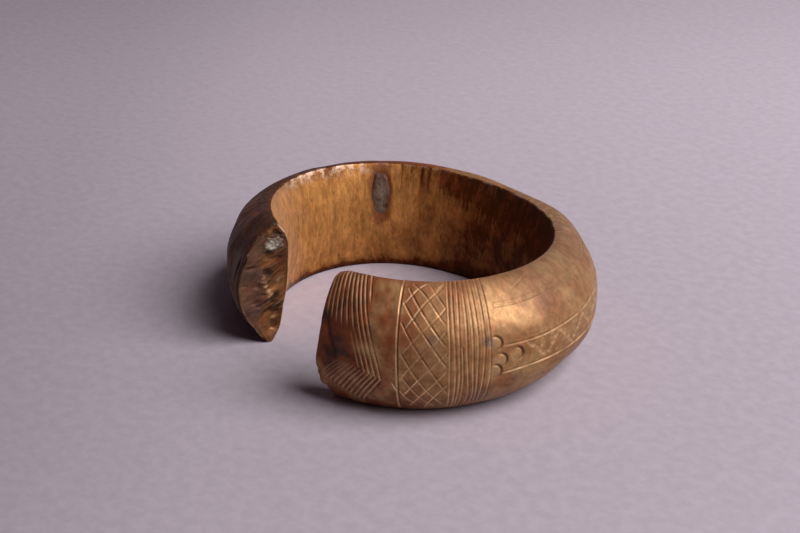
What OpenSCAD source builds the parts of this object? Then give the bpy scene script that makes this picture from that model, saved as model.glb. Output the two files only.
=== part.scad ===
// Open cast bracelet of the currency kind: a C-shaped band of lens section,
// with incised terminals and two metal fills.
// Millimetres, +Z up. The band lies on its lower edge with the gap towards -Y.

/* [Ring plan] */
// Wrist opening across the gap axis, at the rim
inner_len = 65.4; // [58:0.2:74]
// Wrist opening along the gap axis, at the rim
inner_wid = 52.6; // [47:0.2:60]
// Turn of the oval against the gap, degrees
oval_turn = -3.4; // [-6:0.2:6]
// One-sided bend of the hand-shaped curve
uneven = 0.5; // [0:0.1:1]
// Half of the gap's opening angle, degrees
gap_half = 25.8; // [22:0.1:36]

/* [Band section] */
// Height of the band at the gap
end_height = 26.2; // [22:0.2:31]
// Height of the band at the back
back_height = 23.6; // [20:0.2:29]
// Swell of the outer face at the gap
end_swell = 6.6; // [5:0.1:9]
// Swell of the outer face at the sides
side_swell = 10.7; // [8:0.1:13]
// Difference of the swell between the two sides
swell_skew = 0.5; // [0:0.1:1]
// Swell of the outer face at the back
back_swell = 7.4; // [6:0.1:11]
// Fullness of the outer face, the power of its curve
fullness = 2.66; // [2.2:0.02:3.2]
// Bulge of the inner wall towards the wrist
inner_crown = 2.5; // [1:0.1:3.5]
// Width of the flat rim and of the flat foot
edge_land = 1.7; // [1.2:0.1:2.5]
// Outward lean of the band's foot at the gap, degrees
end_lean = 5.8; // [0:0.2:8]
// Outward lean of the band's foot at the back, degrees
back_lean = -4.4; // [-6:0.2:4]
// Rounding of the two end faces, across the section
end_round = 0.3; // [0.2:0.05:0.8]
// Rounding of the two end faces, at the rim and at the foot
rim_round = 0.4; // [0.2:0.05:1.2]
// Rounding of the two end faces, along the band
round_len = 0.8; // [0.6:0.1:2.4]
// Drop of the worn rim at the two ends
rim_drop = 0.6; // [0:0.1:1]

/* [Incised lines] */
// Width of an incised line at the surface
line_width = 0.62; // [0.4:0.02:0.8]
// Depth of an incised line
line_depth = 0.36; // [0.2:0.02:0.5]
// Distance of the border line from the end face
border_at = 18; // [16:0.1:19]
// Length of the panel between the border line and the comb of lines
panel_len = 9.7; // [8:0.1:11]
// Pitch of the comb's lines
comb_pitch = 1; // [0.85:0.01:1.2]
// Lines in the comb
comb_lines = 9; // [6:1:10]

// Distance of the fan's first line from the end face, at the rim
fan_at = 1.4; // [1.2:0.1:2.6]
// Pitch of the fan's lines
fan_pitch = 0.98; // [0.85:0.01:1.1]
// Lines in the fan
fan_lines = 9; // [5:1:10]
// Lines of the fan that run down and turn back
fan_long = 4; // [2:1:4]
// Strokes under the fan, parallel to its turned ends
foot_strokes = 4; // [2:1:5]
// Strokes of the lattice that fall away from the end
lattice_falls = 7; // [4:1:8]
// Strokes of the lattice that climb away from the end
lattice_climbs = 6; // [4:1:7]

/* [Ring punches and long lines] */
// Radius of a ring punch
punch_r = 1.15; // [0.9:0.05:1.3]
// Distance between the ring punch in the middle and the one ahead of it
punch_step = 3.3; // [3:0.1:4.5]
// Height of the upper long line above the middle
upper_line = 4; // [3.4:0.1:5]
// Depth of the lower long line below the middle
lower_line = 2; // [1.4:0.1:2.6]

/* [Fills] */
// Length of the fill in the inner wall, along the height
wall_plug_len = 10.6; // [6:0.2:11]
// Width of the fill in the inner wall
wall_plug_wid = 4.2; // [2.5:0.1:5]
// Height of the fill in the inner wall, to its middle
wall_plug_height = 17.4; // [12:0.2:17.8]
// Place of the fill in the inner wall, degrees from the gap
wall_plug_turn = -117.4; // [-130:0.2:-100]
// Length of the fill in the end face, along the height
end_plug_len = 3.2; // [2.5:0.1:4]
// Width of the fill in the end face
end_plug_wid = 3.4; // [2:0.1:3.6]
// Distance of the end face's fill below the rim, to its middle
end_plug_drop = 3.4; // [3.2:0.1:8]
// Distance of the end face's fill from the inner wall, to its middle
end_plug_in = 2.3; // [2.2:0.1:3.6]
// Depth of both fills in the casting
plug_depth = 2.4; // [1.5:0.1:3]
// Height by which both fills stand out of the casting
plug_proud = 0.1; // [0.05:0.05:0.3]

/* [Hidden] */

outer_rows = 12;
inner_rows = 6;
fan_steps = 5;
panel_steps = 4;
body_steps = 18;
oval_points = 24;
r_mean = (inner_len + inner_wid) / 4;
oval = (inner_len - inner_wid) / 4;
comb_at = border_at + panel_len;
comb_end = comb_at + comb_pitch * (comb_lines - 1);
line_half = line_width / 2;
// Share of the half height that the incised lines reach
line_reach = 0.93;

// Plan curve of the inner rim, its direction and its outward normal;
// ph is counted from the gap, anticlockwise
function rim(ph) = r_mean - oval * cos(2 * (ph - oval_turn)) + uneven * sin(3 * ph);
function rim_slope(ph) = 2 * oval * sin(2 * (ph - oval_turn)) + 3 * uneven * cos(3 * ph);
function unit(v) = v / norm(v);
function radial(ph) = [sin(ph), -cos(ph), 0];
function along(ph) = unit(rim_slope(ph) * radial(ph) + rim(ph) * [cos(ph), sin(ph), 0]);
function outward(ph) = [along(ph).y, -along(ph).x, 0];

// Sizes of the section around the ring
function gap_share(ph) = (1 + cos(ph)) / 2;
drop_span = 20;
function from_gap(ph) = acos(cos(ph));
function worn(ph) = pow(max(0, 1 - (from_gap(ph) - gap_half) / drop_span), 2);
function height(ph) = back_height + (end_height - back_height) * gap_share(ph) - rim_drop * worn(ph);
function swell(ph) =
    (end_swell + 2 * side_swell + back_swell) / 4
    + (end_swell - back_swell) / 2 * cos(ph)
    + (end_swell + back_swell - 2 * side_swell) / 4 * cos(2 * ph)
    - swell_skew * sin(ph);
function lean(ph) = tan(back_lean + (end_lean - back_lean) * gap_share(ph));

// A point of the band from its plan angle, outward offset and height, before the outline is centred
function raw_place(ph, n, z) =
    radial(ph) * rim(ph) + outward(ph) * (n + lean(ph) * (height(ph) / 2 - z)) + [0, 0, z];

// Section curves over the height share w, which runs from -1 at the foot to 1 at the rim
function outer_n(ph, w) = edge_land + (swell(ph) - edge_land) * (1 - pow(abs(w), fullness));
function outer_slope(ph, w) =
    -(swell(ph) - edge_land) * fullness * pow(abs(w), fullness - 1) * sign(w) * 2 / height(ph);
function inner_n(w) = -inner_crown * (1 - w * w);
function level(ph, w) = height(ph) * (w + 1) / 2;

// A point of the outer face, sunk by a depth along its own normal
function sunk(ph, w, depth) =
    let(slope = outer_slope(ph, w), d = depth / sqrt(1 + slope * slope))
    [outer_n(ph, w) - d, level(ph, w) + d * slope];

// One section's loop, sunk at an incised line and drawn in at the rounded ends
function row_w(j, rows) = let(k = 2 * j / rows - 1) k * (1.2 - 0.2 * k * k);
function drawn_in(ph, n, z, inset) =
    let(nc = (swell(ph) - inner_crown) / 2, zc = height(ph) / 2)
    let(sn = 1 - 2 * inset * end_round / (swell(ph) + inner_crown))
    let(sz = 1 - 2 * inset * rim_round / height(ph))
    raw_place(ph, nc + (n - nc) * sn, zc + (z - zc) * sz);
function loop(ph, inset, depth) = concat(
    [for (j = [0 : outer_rows])
        let(w = row_w(j, outer_rows), p = sunk(ph, w, abs(w) < line_reach ? depth : 0))
        drawn_in(ph, p[0], p[1], inset)],
    [for (j = [0 : inner_rows])
        let(w = 1 - 2 * j / inner_rows) drawn_in(ph, inner_n(w), level(ph, w), inset)]);

// Distance along the outer face from the end, as a table that gives the plan angle
arc_step = 2;
arc_angles = [for (a = [gap_half : arc_step : 180]) a];
function arc_point(ph) = raw_place(ph, swell(ph), height(ph) / 2);
function arc_chord(i) =
    norm(arc_point(arc_angles[i]) - arc_point(arc_angles[i - 1]));
function arc_to(i) = i == 0 ? 0 : arc_chord(i) + arc_to(i - 1);
arc_table = [for (i = [0 : len(arc_angles) - 1]) [arc_to(i), arc_angles[i]]];
function turn_at(s) = lookup(s, arc_table);

// Stations of one half of the ring as [angle, inset, depth], from the end face to the back
round_steps = [[0, 1], [0.08, 0.61], [0.3, 0.286], [0.62, 0.075]];
function spread(a, b, n) = [for (i = [0 : n - 1]) [turn_at(a + (b - a) * i / n), 0, 0]];
function incised(s) = [
    [turn_at(s - line_half), 0, 0],
    [turn_at(s), 0, line_depth],
    [turn_at(s + line_half), 0, 0]];
body_from = turn_at(comb_end + 2 * line_width);
half_ring = concat(
    [for (r = round_steps) [turn_at(round_len * r[0]), r[1], 0]],
    spread(round_len, border_at - line_half, fan_steps),
    incised(border_at),
    spread(border_at + 2 * line_width, comb_at - line_half, panel_steps),
    [for (i = [0 : comb_lines - 1]) each incised(comb_at + comb_pitch * i)],
    [for (i = [0 : body_steps - 1]) [body_from + (180 - body_from) * i / body_steps, 0, 0]]);
stations = concat(
    half_ring,
    [[180, 0, 0]],
    [for (i = [len(half_ring) - 1 : -1 : 0]) [360 - half_ring[i][0], half_ring[i][1], half_ring[i][2]]]);
loops = [for (s = stations) loop(s[0], s[1], s[2])];

// Middle of the outline, carried to the origin
all_x = [for (l = loops) for (p = l) p.x];
all_y = [for (l = loops) for (p = l) p.y];
middle = [(min(all_x) + max(all_x)) / 2, (min(all_y) + max(all_y)) / 2, 0];
function place(ph, n, z) = raw_place(ph, n, z) - middle;
function section_middle(ph) = place(ph, (swell(ph) - inner_crown) / 2, height(ph) / 2);

// The band as one skin over its stations, closed by a fan of faces at each end
module band() {
    per = outer_rows + inner_rows + 2;
    count = len(stations);
    points = [for (l = loops) for (p = l) p - middle];
    sides = [for (i = [0 : count - 2]) for (j = [0 : per - 1])
        let(a = i * per + j, b = i * per + (j + 1) % per)
        each [[a, b, a + per], [b, b + per, a + per]]];
    first_cap = [for (j = [0 : per - 1]) [count * per, (j + 1) % per, j]];
    last_cap = [for (j = [0 : per - 1])
        let(base = (count - 1) * per) [count * per + 1, base + j, base + (j + 1) % per]];
    polyhedron(
        points = concat(points, [section_middle(gap_half), section_middle(-gap_half)]),
        faces = concat(sides, first_cap, last_cap));
}

// A point of the outer face and its normal,
// from the side of the gap, the distance from the end and the height share
function outer(ph, w) = place(ph, outer_n(ph, w), level(ph, w));
function skin(side, s, w) = outer(side * turn_at(s), w);
function skin_normal(side, s, w) =
    let(run = skin(side, s + 0.4, w) - skin(side, max(s - 0.4, 0), w))
    let(rise = skin(side, s, min(w + 0.03, 1)) - skin(side, s, max(w - 0.03, -1)))
    side * unit(cross(run, rise));

// The V of a cutting tool at each point of a path of [distance, height share, depth share]
line_lift = 0.25;
function tool_at(side, path, i) =
    let(a = path[max(i - 1, 0)], b = path[i], c = path[min(i + 1, len(path) - 1)])
    let(spot = skin(side, b[0], b[1]), up = skin_normal(side, b[0], b[1]))
    let(across = unit(cross(up, skin(side, c[0], c[1]) - skin(side, a[0], a[1]))))
    let(deep = line_depth * b[2])
    let(half = line_half * b[2] * (1 + line_lift / deep))
    [spot - up * deep, spot + up * line_lift + across * half, spot + up * line_lift - across * half];

// One open stroke of the tool
module stroke(side, path) {
    last = 3 * (len(path) - 1);
    walls = [for (i = [0 : len(path) - 2]) let(k = 3 * i)
        each [[k + 1, k, k + 3], [k + 1, k + 3, k + 4],
              [k + 2, k + 1, k + 4], [k + 2, k + 4, k + 5],
              [k, k + 2, k + 5], [k, k + 5, k + 3]]];
    polyhedron(
        points = [for (i = [0 : len(path) - 1]) each tool_at(side, path, i)],
        faces = concat([[0, 1, 2]], walls, [[last, last + 2, last + 1]]));
}

// A stroke between two places of the face, shallow at both ends
function drawn(a, b, n) = [for (i = [0 : n])
    let(t = i / n) [a[0] + (b[0] - a[0]) * t, a[1] + (b[1] - a[1]) * t, i % n == 0 ? 0.45 : 1]];

// Fan at the end: slanting lines from the rim, of which the longer ones turn back below the middle
fan_slant = 4.4;
fan_top = 0.98;
turn_level = -0.28;
turn_back = [-4.8, -0.44];
foot_rise = 0.02;
function fan_place(at, w) = [at + fan_slant * (fan_top - w), w];
module fan(side) {
    for (i = [0 : fan_lines - 1]) {
        at = fan_at + fan_pitch * i;
        if (i >= fan_lines - fan_long) {
            corner = fan_place(at, turn_level);
            stroke(side, drawn(fan_place(at, fan_top), corner, 5));
            stroke(side, drawn(corner, corner + turn_back, 3));
        } else {
            stroke(side, drawn(fan_place(at, fan_top), fan_place(at, 0.5), 2));
        }
    }
    first = fan_place(fan_at + fan_pitch * (fan_lines - fan_long), turn_level);
    for (i = [1 : foot_strokes])
        let(from = first + [-fan_pitch, foot_rise] * i)
            stroke(side, drawn(from, from + turn_back, 3));
}

// Lattice: two families of slanting strokes across the panel, cut off at the rim and at the foot
lattice_margin = 0.9;
module lattice_stroke(side, from, climb) {
    low = climb < 0 ? (from - fan_top) / -climb : (-fan_top - from) / climb;
    high = climb < 0 ? (from + fan_top) / -climb : (fan_top - from) / climb;
    a = max(0, low);
    b = min(1, high);
    at = border_at + lattice_margin;
    run = panel_len - 2 * lattice_margin + line_width;
    start = [at + run * a, from + climb * a];
    end = [at + run * b, from + climb * b];
    if (b - a > 0.2)
        stroke(side, drawn(start, end, b - a > 0.7 ? 4 : 3));
}

module lattice(side) {
    for (i = [0 : lattice_falls - 1])
        lattice_stroke(side, 1.25 - 1.74 * i / (lattice_falls - 1), -0.9);
    for (i = [0 : lattice_climbs - 1])
        lattice_stroke(side, 0.62 - 1.9 * i / (lattice_climbs - 1), 0.75);
}

// Ring punches at the head of the long lines
punch_sides = 8;
module punch(side, s, w) {
    share = 2 * punch_r / height(60);
    path = [for (i = [0 : punch_sides + 2])
        let(a = 360 * i / punch_sides) [s + punch_r * cos(a), w + share * sin(a), 1]];
    for (i = [1 : punch_sides])
        hull()
            polyhedron(
                points = concat(tool_at(side, path, i), tool_at(side, path, i + 1)),
                faces = [[0, 1, 2], [3, 5, 4], [1, 0, 3, 4], [2, 1, 4, 5], [0, 2, 5, 3]]);
}

upper_w = 2 * upper_line / height(60);
lower_w = -2 * lower_line / height(60);
punch_at = comb_end + punch_r + line_width;
module punches(side) {
    mid_w = (upper_w + lower_w) / 2;
    apart = 2.1 * punch_r * 2 / height(60);
    punch(side, punch_at, mid_w + apart);
    punch(side, punch_at + line_width, mid_w);
    punch(side, punch_at, mid_w - apart);
    punch(side, punch_at + punch_step, mid_w);
}

// Long lines from the punches to the back, where those of the two sides meet
long_steps = 12;
back_s = arc_table[len(arc_table) - 1][0];
module long_line(side, w) {
    from = punch_at + punch_r + line_width;
    stroke(side, [for (i = [0 : long_steps])
        [from + (back_s - from) * i / long_steps, w, i == 0 ? 0.45 : 1]]);
}

module carving(side) {
    fan(side);
    lattice(side);
    punches(side);
    long_line(side, upper_w);
    long_line(side, lower_w);
}

// An upright oval bar along +Z, the shape of a fill and of its pocket
module oval_bar(long, wide, low, high) {
    translate([0, 0, low])
        linear_extrude(height = high - low)
            polygon([for (i = [0 : oval_points - 1])
                let(a = 360 * i / oval_points) [wide / 2 * cos(a), long / 2 * sin(a)]]);
}

// Children set in a frame of three unit directions
module set_in(origin, across, up, out) {
    multmatrix([
        [across.x, up.x, out.x, origin.x],
        [across.y, up.y, out.y, origin.y],
        [across.z, up.z, out.z, origin.z],
        [0, 0, 0, 1]])
        children();
}

// Seat of the fill in the inner wall, facing the wrist
function inner(ph, w) = place(ph, inner_n(w), level(ph, w));
wall_plug_w = 2 * wall_plug_height / height(wall_plug_turn) - 1;
wall_up = unit(inner(wall_plug_turn, wall_plug_w + 0.02) - inner(wall_plug_turn, wall_plug_w - 0.02));
wall_across = -along(wall_plug_turn);
wall_curve = pow(height(wall_plug_turn), 2) / (8 * inner_crown);
module at_wall_plug() {
    set_in(inner(wall_plug_turn, wall_plug_w), wall_across, wall_up, cross(wall_across, wall_up))
        children();
}

// Seat of the fill in the end face, facing the gap
end_plug_z = height(gap_half) - end_plug_drop;
end_plug_n = inner_n(2 * end_plug_z / height(gap_half) - 1) + end_plug_in;
module at_end_plug() {
    set_in(place(-gap_half, end_plug_n, end_plug_z), -outward(-gap_half), [0, 0, 1], along(-gap_half))
        children();
}

// Height of a pocket's cutter above the surface
pocket_over = 2;

module ring_casting() {
    color([0.62, 0.44, 0.25])
        difference() {
            band();
            carving(1);
            carving(-1);
            at_wall_plug()
                oval_bar(wall_plug_len, wall_plug_wid, -plug_depth, pocket_over);
            at_end_plug()
                oval_bar(end_plug_len, end_plug_wid, -plug_depth, pocket_over);
        }
}

// The wall's fill follows the bulge of the wall
module wall_plug() {
    color([0.36, 0.35, 0.33])
        at_wall_plug()
            intersection() {
                oval_bar(wall_plug_len, wall_plug_wid, -plug_depth, pocket_over);
                translate([0, 0, plug_proud - wall_curve])
                    rotate([0, 90, 0])
                        cylinder(r = wall_curve, h = 2 * wall_plug_wid, center = true, $fn = 96);
            }
}

module end_plug() {
    color([0.5, 0.5, 0.49])
        at_end_plug()
            oval_bar(end_plug_len, end_plug_wid, -plug_depth, plug_proud);
}

ring_casting();
wall_plug();
end_plug();
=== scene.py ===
"""Dressed scene of an open cast brass bracelet: chased band, two metal fills, paper floor and soft light."""
import functools
import itertools
import logging
import math
from dataclasses import dataclass, field
from enum import Enum
from typing import ClassVar, Iterable, Sequence

import bpy
import numpy as np
from mathutils import Matrix, Vector


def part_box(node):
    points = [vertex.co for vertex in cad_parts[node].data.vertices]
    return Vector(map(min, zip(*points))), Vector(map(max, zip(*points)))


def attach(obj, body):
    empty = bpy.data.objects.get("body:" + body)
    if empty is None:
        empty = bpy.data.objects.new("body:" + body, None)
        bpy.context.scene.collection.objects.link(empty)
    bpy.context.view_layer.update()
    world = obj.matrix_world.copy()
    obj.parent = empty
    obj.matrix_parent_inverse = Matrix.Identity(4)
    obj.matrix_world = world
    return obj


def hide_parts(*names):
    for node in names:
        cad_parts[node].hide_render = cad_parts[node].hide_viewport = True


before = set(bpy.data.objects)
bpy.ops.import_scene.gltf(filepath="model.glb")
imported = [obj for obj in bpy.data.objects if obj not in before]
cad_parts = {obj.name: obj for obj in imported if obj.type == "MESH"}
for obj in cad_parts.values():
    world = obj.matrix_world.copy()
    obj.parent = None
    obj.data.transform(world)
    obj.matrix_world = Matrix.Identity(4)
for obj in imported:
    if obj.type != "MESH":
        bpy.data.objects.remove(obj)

LOG = logging.getLogger("bracelet")
MM = 0.001
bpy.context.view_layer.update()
BAKE_MAP = "OFBake"
BACK_TURN = 180
RIGHT, LEFT = ("right", 0, 1), ("left", 0, 1)
Array = np.ndarray
Socket, Node, Tree = bpy.types.NodeSocket, bpy.types.Node, bpy.types.NodeTree
Piece, Material = bpy.types.Object, bpy.types.Material
Colour = tuple[float, float, float]
Place = tuple[float, float]
Span = tuple[float, float]
Spot = tuple[Place, float, float]
Path = tuple[Place, ...]
Rows = tuple[tuple[float, ...], ...]
Cut = tuple[float, float, float, float, float, float]
Fade = tuple[float, float, float, float]
NoiseMix = tuple[tuple[float, float, float], ...]
Pair = tuple[Array, Array]
Masks = dict[str, Array]


class Side(Enum):
    """The two terminals, by the sign of their plan angle from the gap."""

    RIGHT = 1
    LEFT = -1


class Mark(Enum):
    """Names of the masks that the casting's mesh carries for its finishes."""

    LINE = "line"
    CREST = "crest"
    TARNISH = "tarnish"
    STAIN = "stain"
    FLUSH = "flush"
    EDGE = "edge"
    LAY = "lay"


def srgb(red: int, green: int, blue: int) -> Colour:
    """A screen colour as the linear colour that the shader takes.

    Args:
        red: Red, from 0 to 255.
        green: Green, from 0 to 255.
        blue: Blue, from 0 to 255.

    Returns:
        The linear colour.
    """
    share = [v / 255 for v in (red, green, blue)]
    return tuple(v / 12.92 if v <= 0.04045 else ((v + 0.055) / 1.055) ** 2.4 for v in share)


def smooth(low: float, high: float, value: Array) -> Array:
    """A soft step from 0 at low to 1 at high.

    Args:
        low: Where the step starts.
        high: Where the step ends; it may be lower than low.
        value: Where the step is read.

    Returns:
        The step's height at each value.
    """
    t = np.clip((value - low) / (high - low), 0, 1)
    return t * t * (3 - 2 * t)


def nth(series: Span, i: int) -> float:
    """Value i of an even series, from its first value and its step."""
    return series[0] + series[1] * i


def relaxed(values: Array, share: Array) -> Array:
    """Values around closed loops, each drawn by its share to the middle of its neighbours."""
    return values + share * ((np.roll(values, 1, 1) + np.roll(values, -1, 1)) / 2 - values)


class HandNoise:
    """Smooth seeded unevenness of a hand-worked surface."""

    CELLS = 24

    def __init__(self, seed: int) -> None:
        """Fills the lattice from its seed."""
        self.lattice = np.random.default_rng(seed).uniform(-1, 1, (self.CELLS,) * 3)

    def at(self, points: Array, size: float) -> Array:
        """The unevenness at some points.

        Args:
            points: Points in millimetres, on the last axis.
            size: Width of one lump in millimetres.

        Returns:
            A value from -1 to 1 for each point.
        """
        scaled = points / size
        cell = np.floor(scaled).astype(int)
        part = scaled - cell
        part = part * part * (3 - 2 * part)
        total = np.zeros(points.shape[:-1])
        for corner in itertools.product((0, 1), repeat=3):
            weight = np.ones(points.shape[:-1])
            for axis, step in enumerate(corner):
                weight = weight * (part[..., axis] if step else 1 - part[..., axis])
            index = (cell + np.array(corner)) % self.CELLS
            total += weight * self.lattice[index[..., 0], index[..., 1], index[..., 2]]
        return total

    def layers(self, points: Array, mix: NoiseMix) -> Array:
        """Layers of unevenness in one.

        Args:
            points: Points in millimetres, on the last axis.
            mix: Strength, shift and lump width of each layer.

        Returns:
            The sum of the layers for each point.
        """
        return sum(strength * self.at(points + shift, size) for strength, shift, size in mix)


@dataclass(frozen=True)
class BandPlan:
    """Sizes and curves of the band, as the solid has them, in millimetres and degrees from the gap."""

    inner_len: float = 65.4
    inner_wid: float = 52.6
    oval_turn: float = -3.4
    uneven: float = 0.5
    gap_half: float = 25.8
    end_height: float = 26.2
    back_height: float = 23.6
    end_swell: float = 6.6
    side_swell: float = 10.7
    swell_skew: float = 0.5
    back_swell: float = 7.4
    fullness: float = 2.66
    inner_crown: float = 2.5
    edge_land: float = 1.7
    end_lean: float = 5.8
    back_lean: float = -4.4
    end_round: float = 0.3
    rim_round: float = 0.4
    round_len: float = 0.8
    rim_drop: float = 0.6
    drop_span: float = 20.0
    turn_steps: int = 1441
    row_steps: int = 81
    arc_steps: int = 1600

    def rim(self, ph: Array) -> Array:
        """Radius of the wrist opening at the rim.

        Args:
            ph: Plan angles.

        Returns:
            The radii.
        """
        mean, oval = (self.inner_len + self.inner_wid) / 4, (self.inner_len - self.inner_wid) / 4
        turn = np.radians(ph)
        return mean - oval * np.cos(2 * np.radians(ph - self.oval_turn)) + self.uneven * np.sin(3 * turn)

    def axes(self, ph: Array) -> tuple[Array, Array, Array]:
        """Plan directions of the rim's curve.

        Args:
            ph: Plan angles.

        Returns:
            The radial, forward and outward directions.
        """
        oval, turn = (self.inner_len - self.inner_wid) / 4, np.radians(ph)
        slope = 2 * oval * np.sin(2 * np.radians(ph - self.oval_turn)) + 3 * self.uneven * np.cos(3 * turn)
        sine, cosine = np.sin(turn), np.cos(turn)
        radial = np.stack([sine, -cosine], -1)
        along = slope[..., None] * radial + self.rim(ph)[..., None] * np.stack([cosine, sine], -1)
        along = along / np.linalg.norm(along, axis=-1, keepdims=True)
        return radial, along, np.stack([along[..., 1], -along[..., 0]], -1)

    def gap_share(self, ph: Array) -> Array:
        """Nearness to the gap, from 0 at the back to 1 at the gap."""
        return (1 + np.cos(np.radians(ph))) / 2

    def height(self, ph: Array) -> Array:
        """Height of the band, with the worn rim at the two ends.

        Args:
            ph: Plan angles.

        Returns:
            The heights.
        """
        far = np.degrees(np.arccos(np.clip(np.cos(np.radians(ph)), -1, 1)))
        worn = np.maximum(0, 1 - (far - self.gap_half) / self.drop_span) ** 2
        rise = (self.end_height - self.back_height) * self.gap_share(ph)
        return self.back_height + rise - self.rim_drop * worn

    def lean(self, ph: Array) -> Array:
        """Lean of the section from the upright, as a slope."""
        return np.tan(np.radians(self.back_lean + (self.end_lean - self.back_lean) * self.gap_share(ph)))

    def swell(self, ph: Array) -> Array:
        """Swell of the outer face.

        Args:
            ph: Plan angles.

        Returns:
            The outward offsets at mid height.
        """
        turn = np.radians(ph)
        mean = (self.end_swell + 2 * self.side_swell + self.back_swell) / 4
        bend = (self.end_swell + self.back_swell - 2 * self.side_swell) / 4
        ends = (self.end_swell - self.back_swell) / 2
        return mean + ends * np.cos(turn) + bend * np.cos(2 * turn) - self.swell_skew * np.sin(turn)

    def raw_place(self, ph: Array, n: Array, z: Array) -> Array:
        """Points of the band before its outline is centred.

        Args:
            ph: Plan angles.
            n: Outward offsets from the rim's curve.
            z: Heights above the floor.

        Returns:
            The points, in millimetres.
        """
        ph, n, z = np.broadcast_arrays(np.asarray(ph, float), n, z)
        radial, _, outward = self.axes(ph)
        aside = n + self.lean(ph) * (self.height(ph) / 2 - z)
        flat = radial * self.rim(ph)[..., None] + outward * aside[..., None]
        return np.concatenate([flat, z[..., None]], -1)

    def middle(self) -> Array:
        """Middle of the plan outline, which the solid has at the origin.

        Returns:
            The point, on the floor.
        """
        turns = np.linspace(self.gap_half, 360 - self.gap_half, self.turn_steps)[:, None]
        rows = np.linspace(-1, 1, self.row_steps)[None, :]
        skin = self.raw_place(turns, self.outer_n(turns, rows), self.level(turns, rows))
        flat = skin[..., :2].reshape(-1, 2)
        return np.append((flat.min(0) + flat.max(0)) / 2, 0)

    def outer_n(self, ph: Array, w: Array) -> Array:
        """Outward offset of the outer face at a height share from -1 to 1."""
        return self.edge_land + (self.swell(ph) - self.edge_land) * (1 - np.abs(w) ** self.fullness)

    def inner_n(self, w: Array) -> Array:
        """Outward offset of the inner wall at a height share from -1 to 1."""
        return -self.inner_crown * (1 - w * w)

    def level(self, ph: Array, w: Array) -> Array:
        """Height above the floor at a height share from -1 to 1."""
        return self.height(ph) * (w + 1) / 2

    def drawn_in(self, ph: Array, n: Array, z: Array, inset: Array) -> Pair:
        """A section drawn in towards its middle, as at the rounded ends.

        Args:
            ph: Plan angles.
            n: Outward offsets.
            z: Heights.
            inset: Share of the ends' rounding, from 0 to 1.

        Returns:
            The new offsets and heights.
        """
        nc, zc = (self.swell(ph) - self.inner_crown) / 2, self.height(ph) / 2
        sn = 1 - 2 * inset * self.end_round / (self.swell(ph) + self.inner_crown)
        sz = 1 - 2 * inset * self.rim_round / self.height(ph)
        return nc + (n - nc) * sn, zc + (z - zc) * sz

    def arc(self) -> Pair:
        """Distance along the outer face from the right end, with the plan angle of each distance.

        Returns:
            The distances and the plan angles.
        """
        turns = np.linspace(self.gap_half, BACK_TURN, self.arc_steps)
        line = self.raw_place(turns, self.swell(turns), self.height(turns) / 2)
        steps = np.linalg.norm(np.diff(line, axis=0), axis=1)
        return np.concatenate([[0], np.cumsum(steps)]), turns


@dataclass(frozen=True)
class Stroke:
    """One cut of the chasing tool, over places of distance from the end and height share."""

    path: Path
    width: float
    depth: float
    start: float
    end: float
    burr: float
    bright: float
    share_len: ClassVar[float] = 14.0
    step: ClassVar[float] = 0.45
    fade_len: ClassVar[float] = 1.5

    def points(self) -> Pair:
        """The cut's path in short steps.

        Returns:
            The places, and the share of the full depth at each.
        """
        spots = np.array(self.path)
        chords = np.hypot(np.diff(spots[:, 0]), np.diff(spots[:, 1]) * self.share_len)
        run = np.concatenate([[0], np.cumsum(chords)])
        t = np.linspace(0, run[-1], max(3, int(run[-1] / self.step) + 1))
        places = np.stack([self.eased(t, run, spots[:, k]) for k in (0, 1)], -1)
        fade = min(self.fade_len, run[-1] / 3)
        rising = self.start + (1 - self.start) * np.clip(t / fade, 0, 1)
        falling = self.end + (1 - self.end) * np.clip((run[-1] - t) / fade, 0, 1)
        return places, np.minimum(rising, falling)

    @staticmethod
    def eased(t: Array, run: Array, values: Array) -> Array:
        """Values along the path on a curve without corners.

        Args:
            t: Where they are read, as lengths along the path.
            run: Lengths along the path of the typed places.
            values: Values at the typed places.

        Returns:
            The values.
        """
        if len(run) > 2:
            slopes = np.gradient(values, run)
        else:
            slopes = np.full(len(run), (values[-1] - values[0]) / run[-1])
        k = np.clip(np.searchsorted(run, t, side="right") - 1, 0, len(run) - 2)
        h = run[k + 1] - run[k]
        u = (t - run[k]) / h
        a, b = 2 * u**3 - 3 * u**2 + 1, u**3 - 2 * u**2 + u
        c, d = 3 * u**2 - 2 * u**3, u**3 - u**2
        return a * values[k] + b * h * slopes[k] + c * values[k + 1] + d * h * slopes[k + 1]


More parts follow.
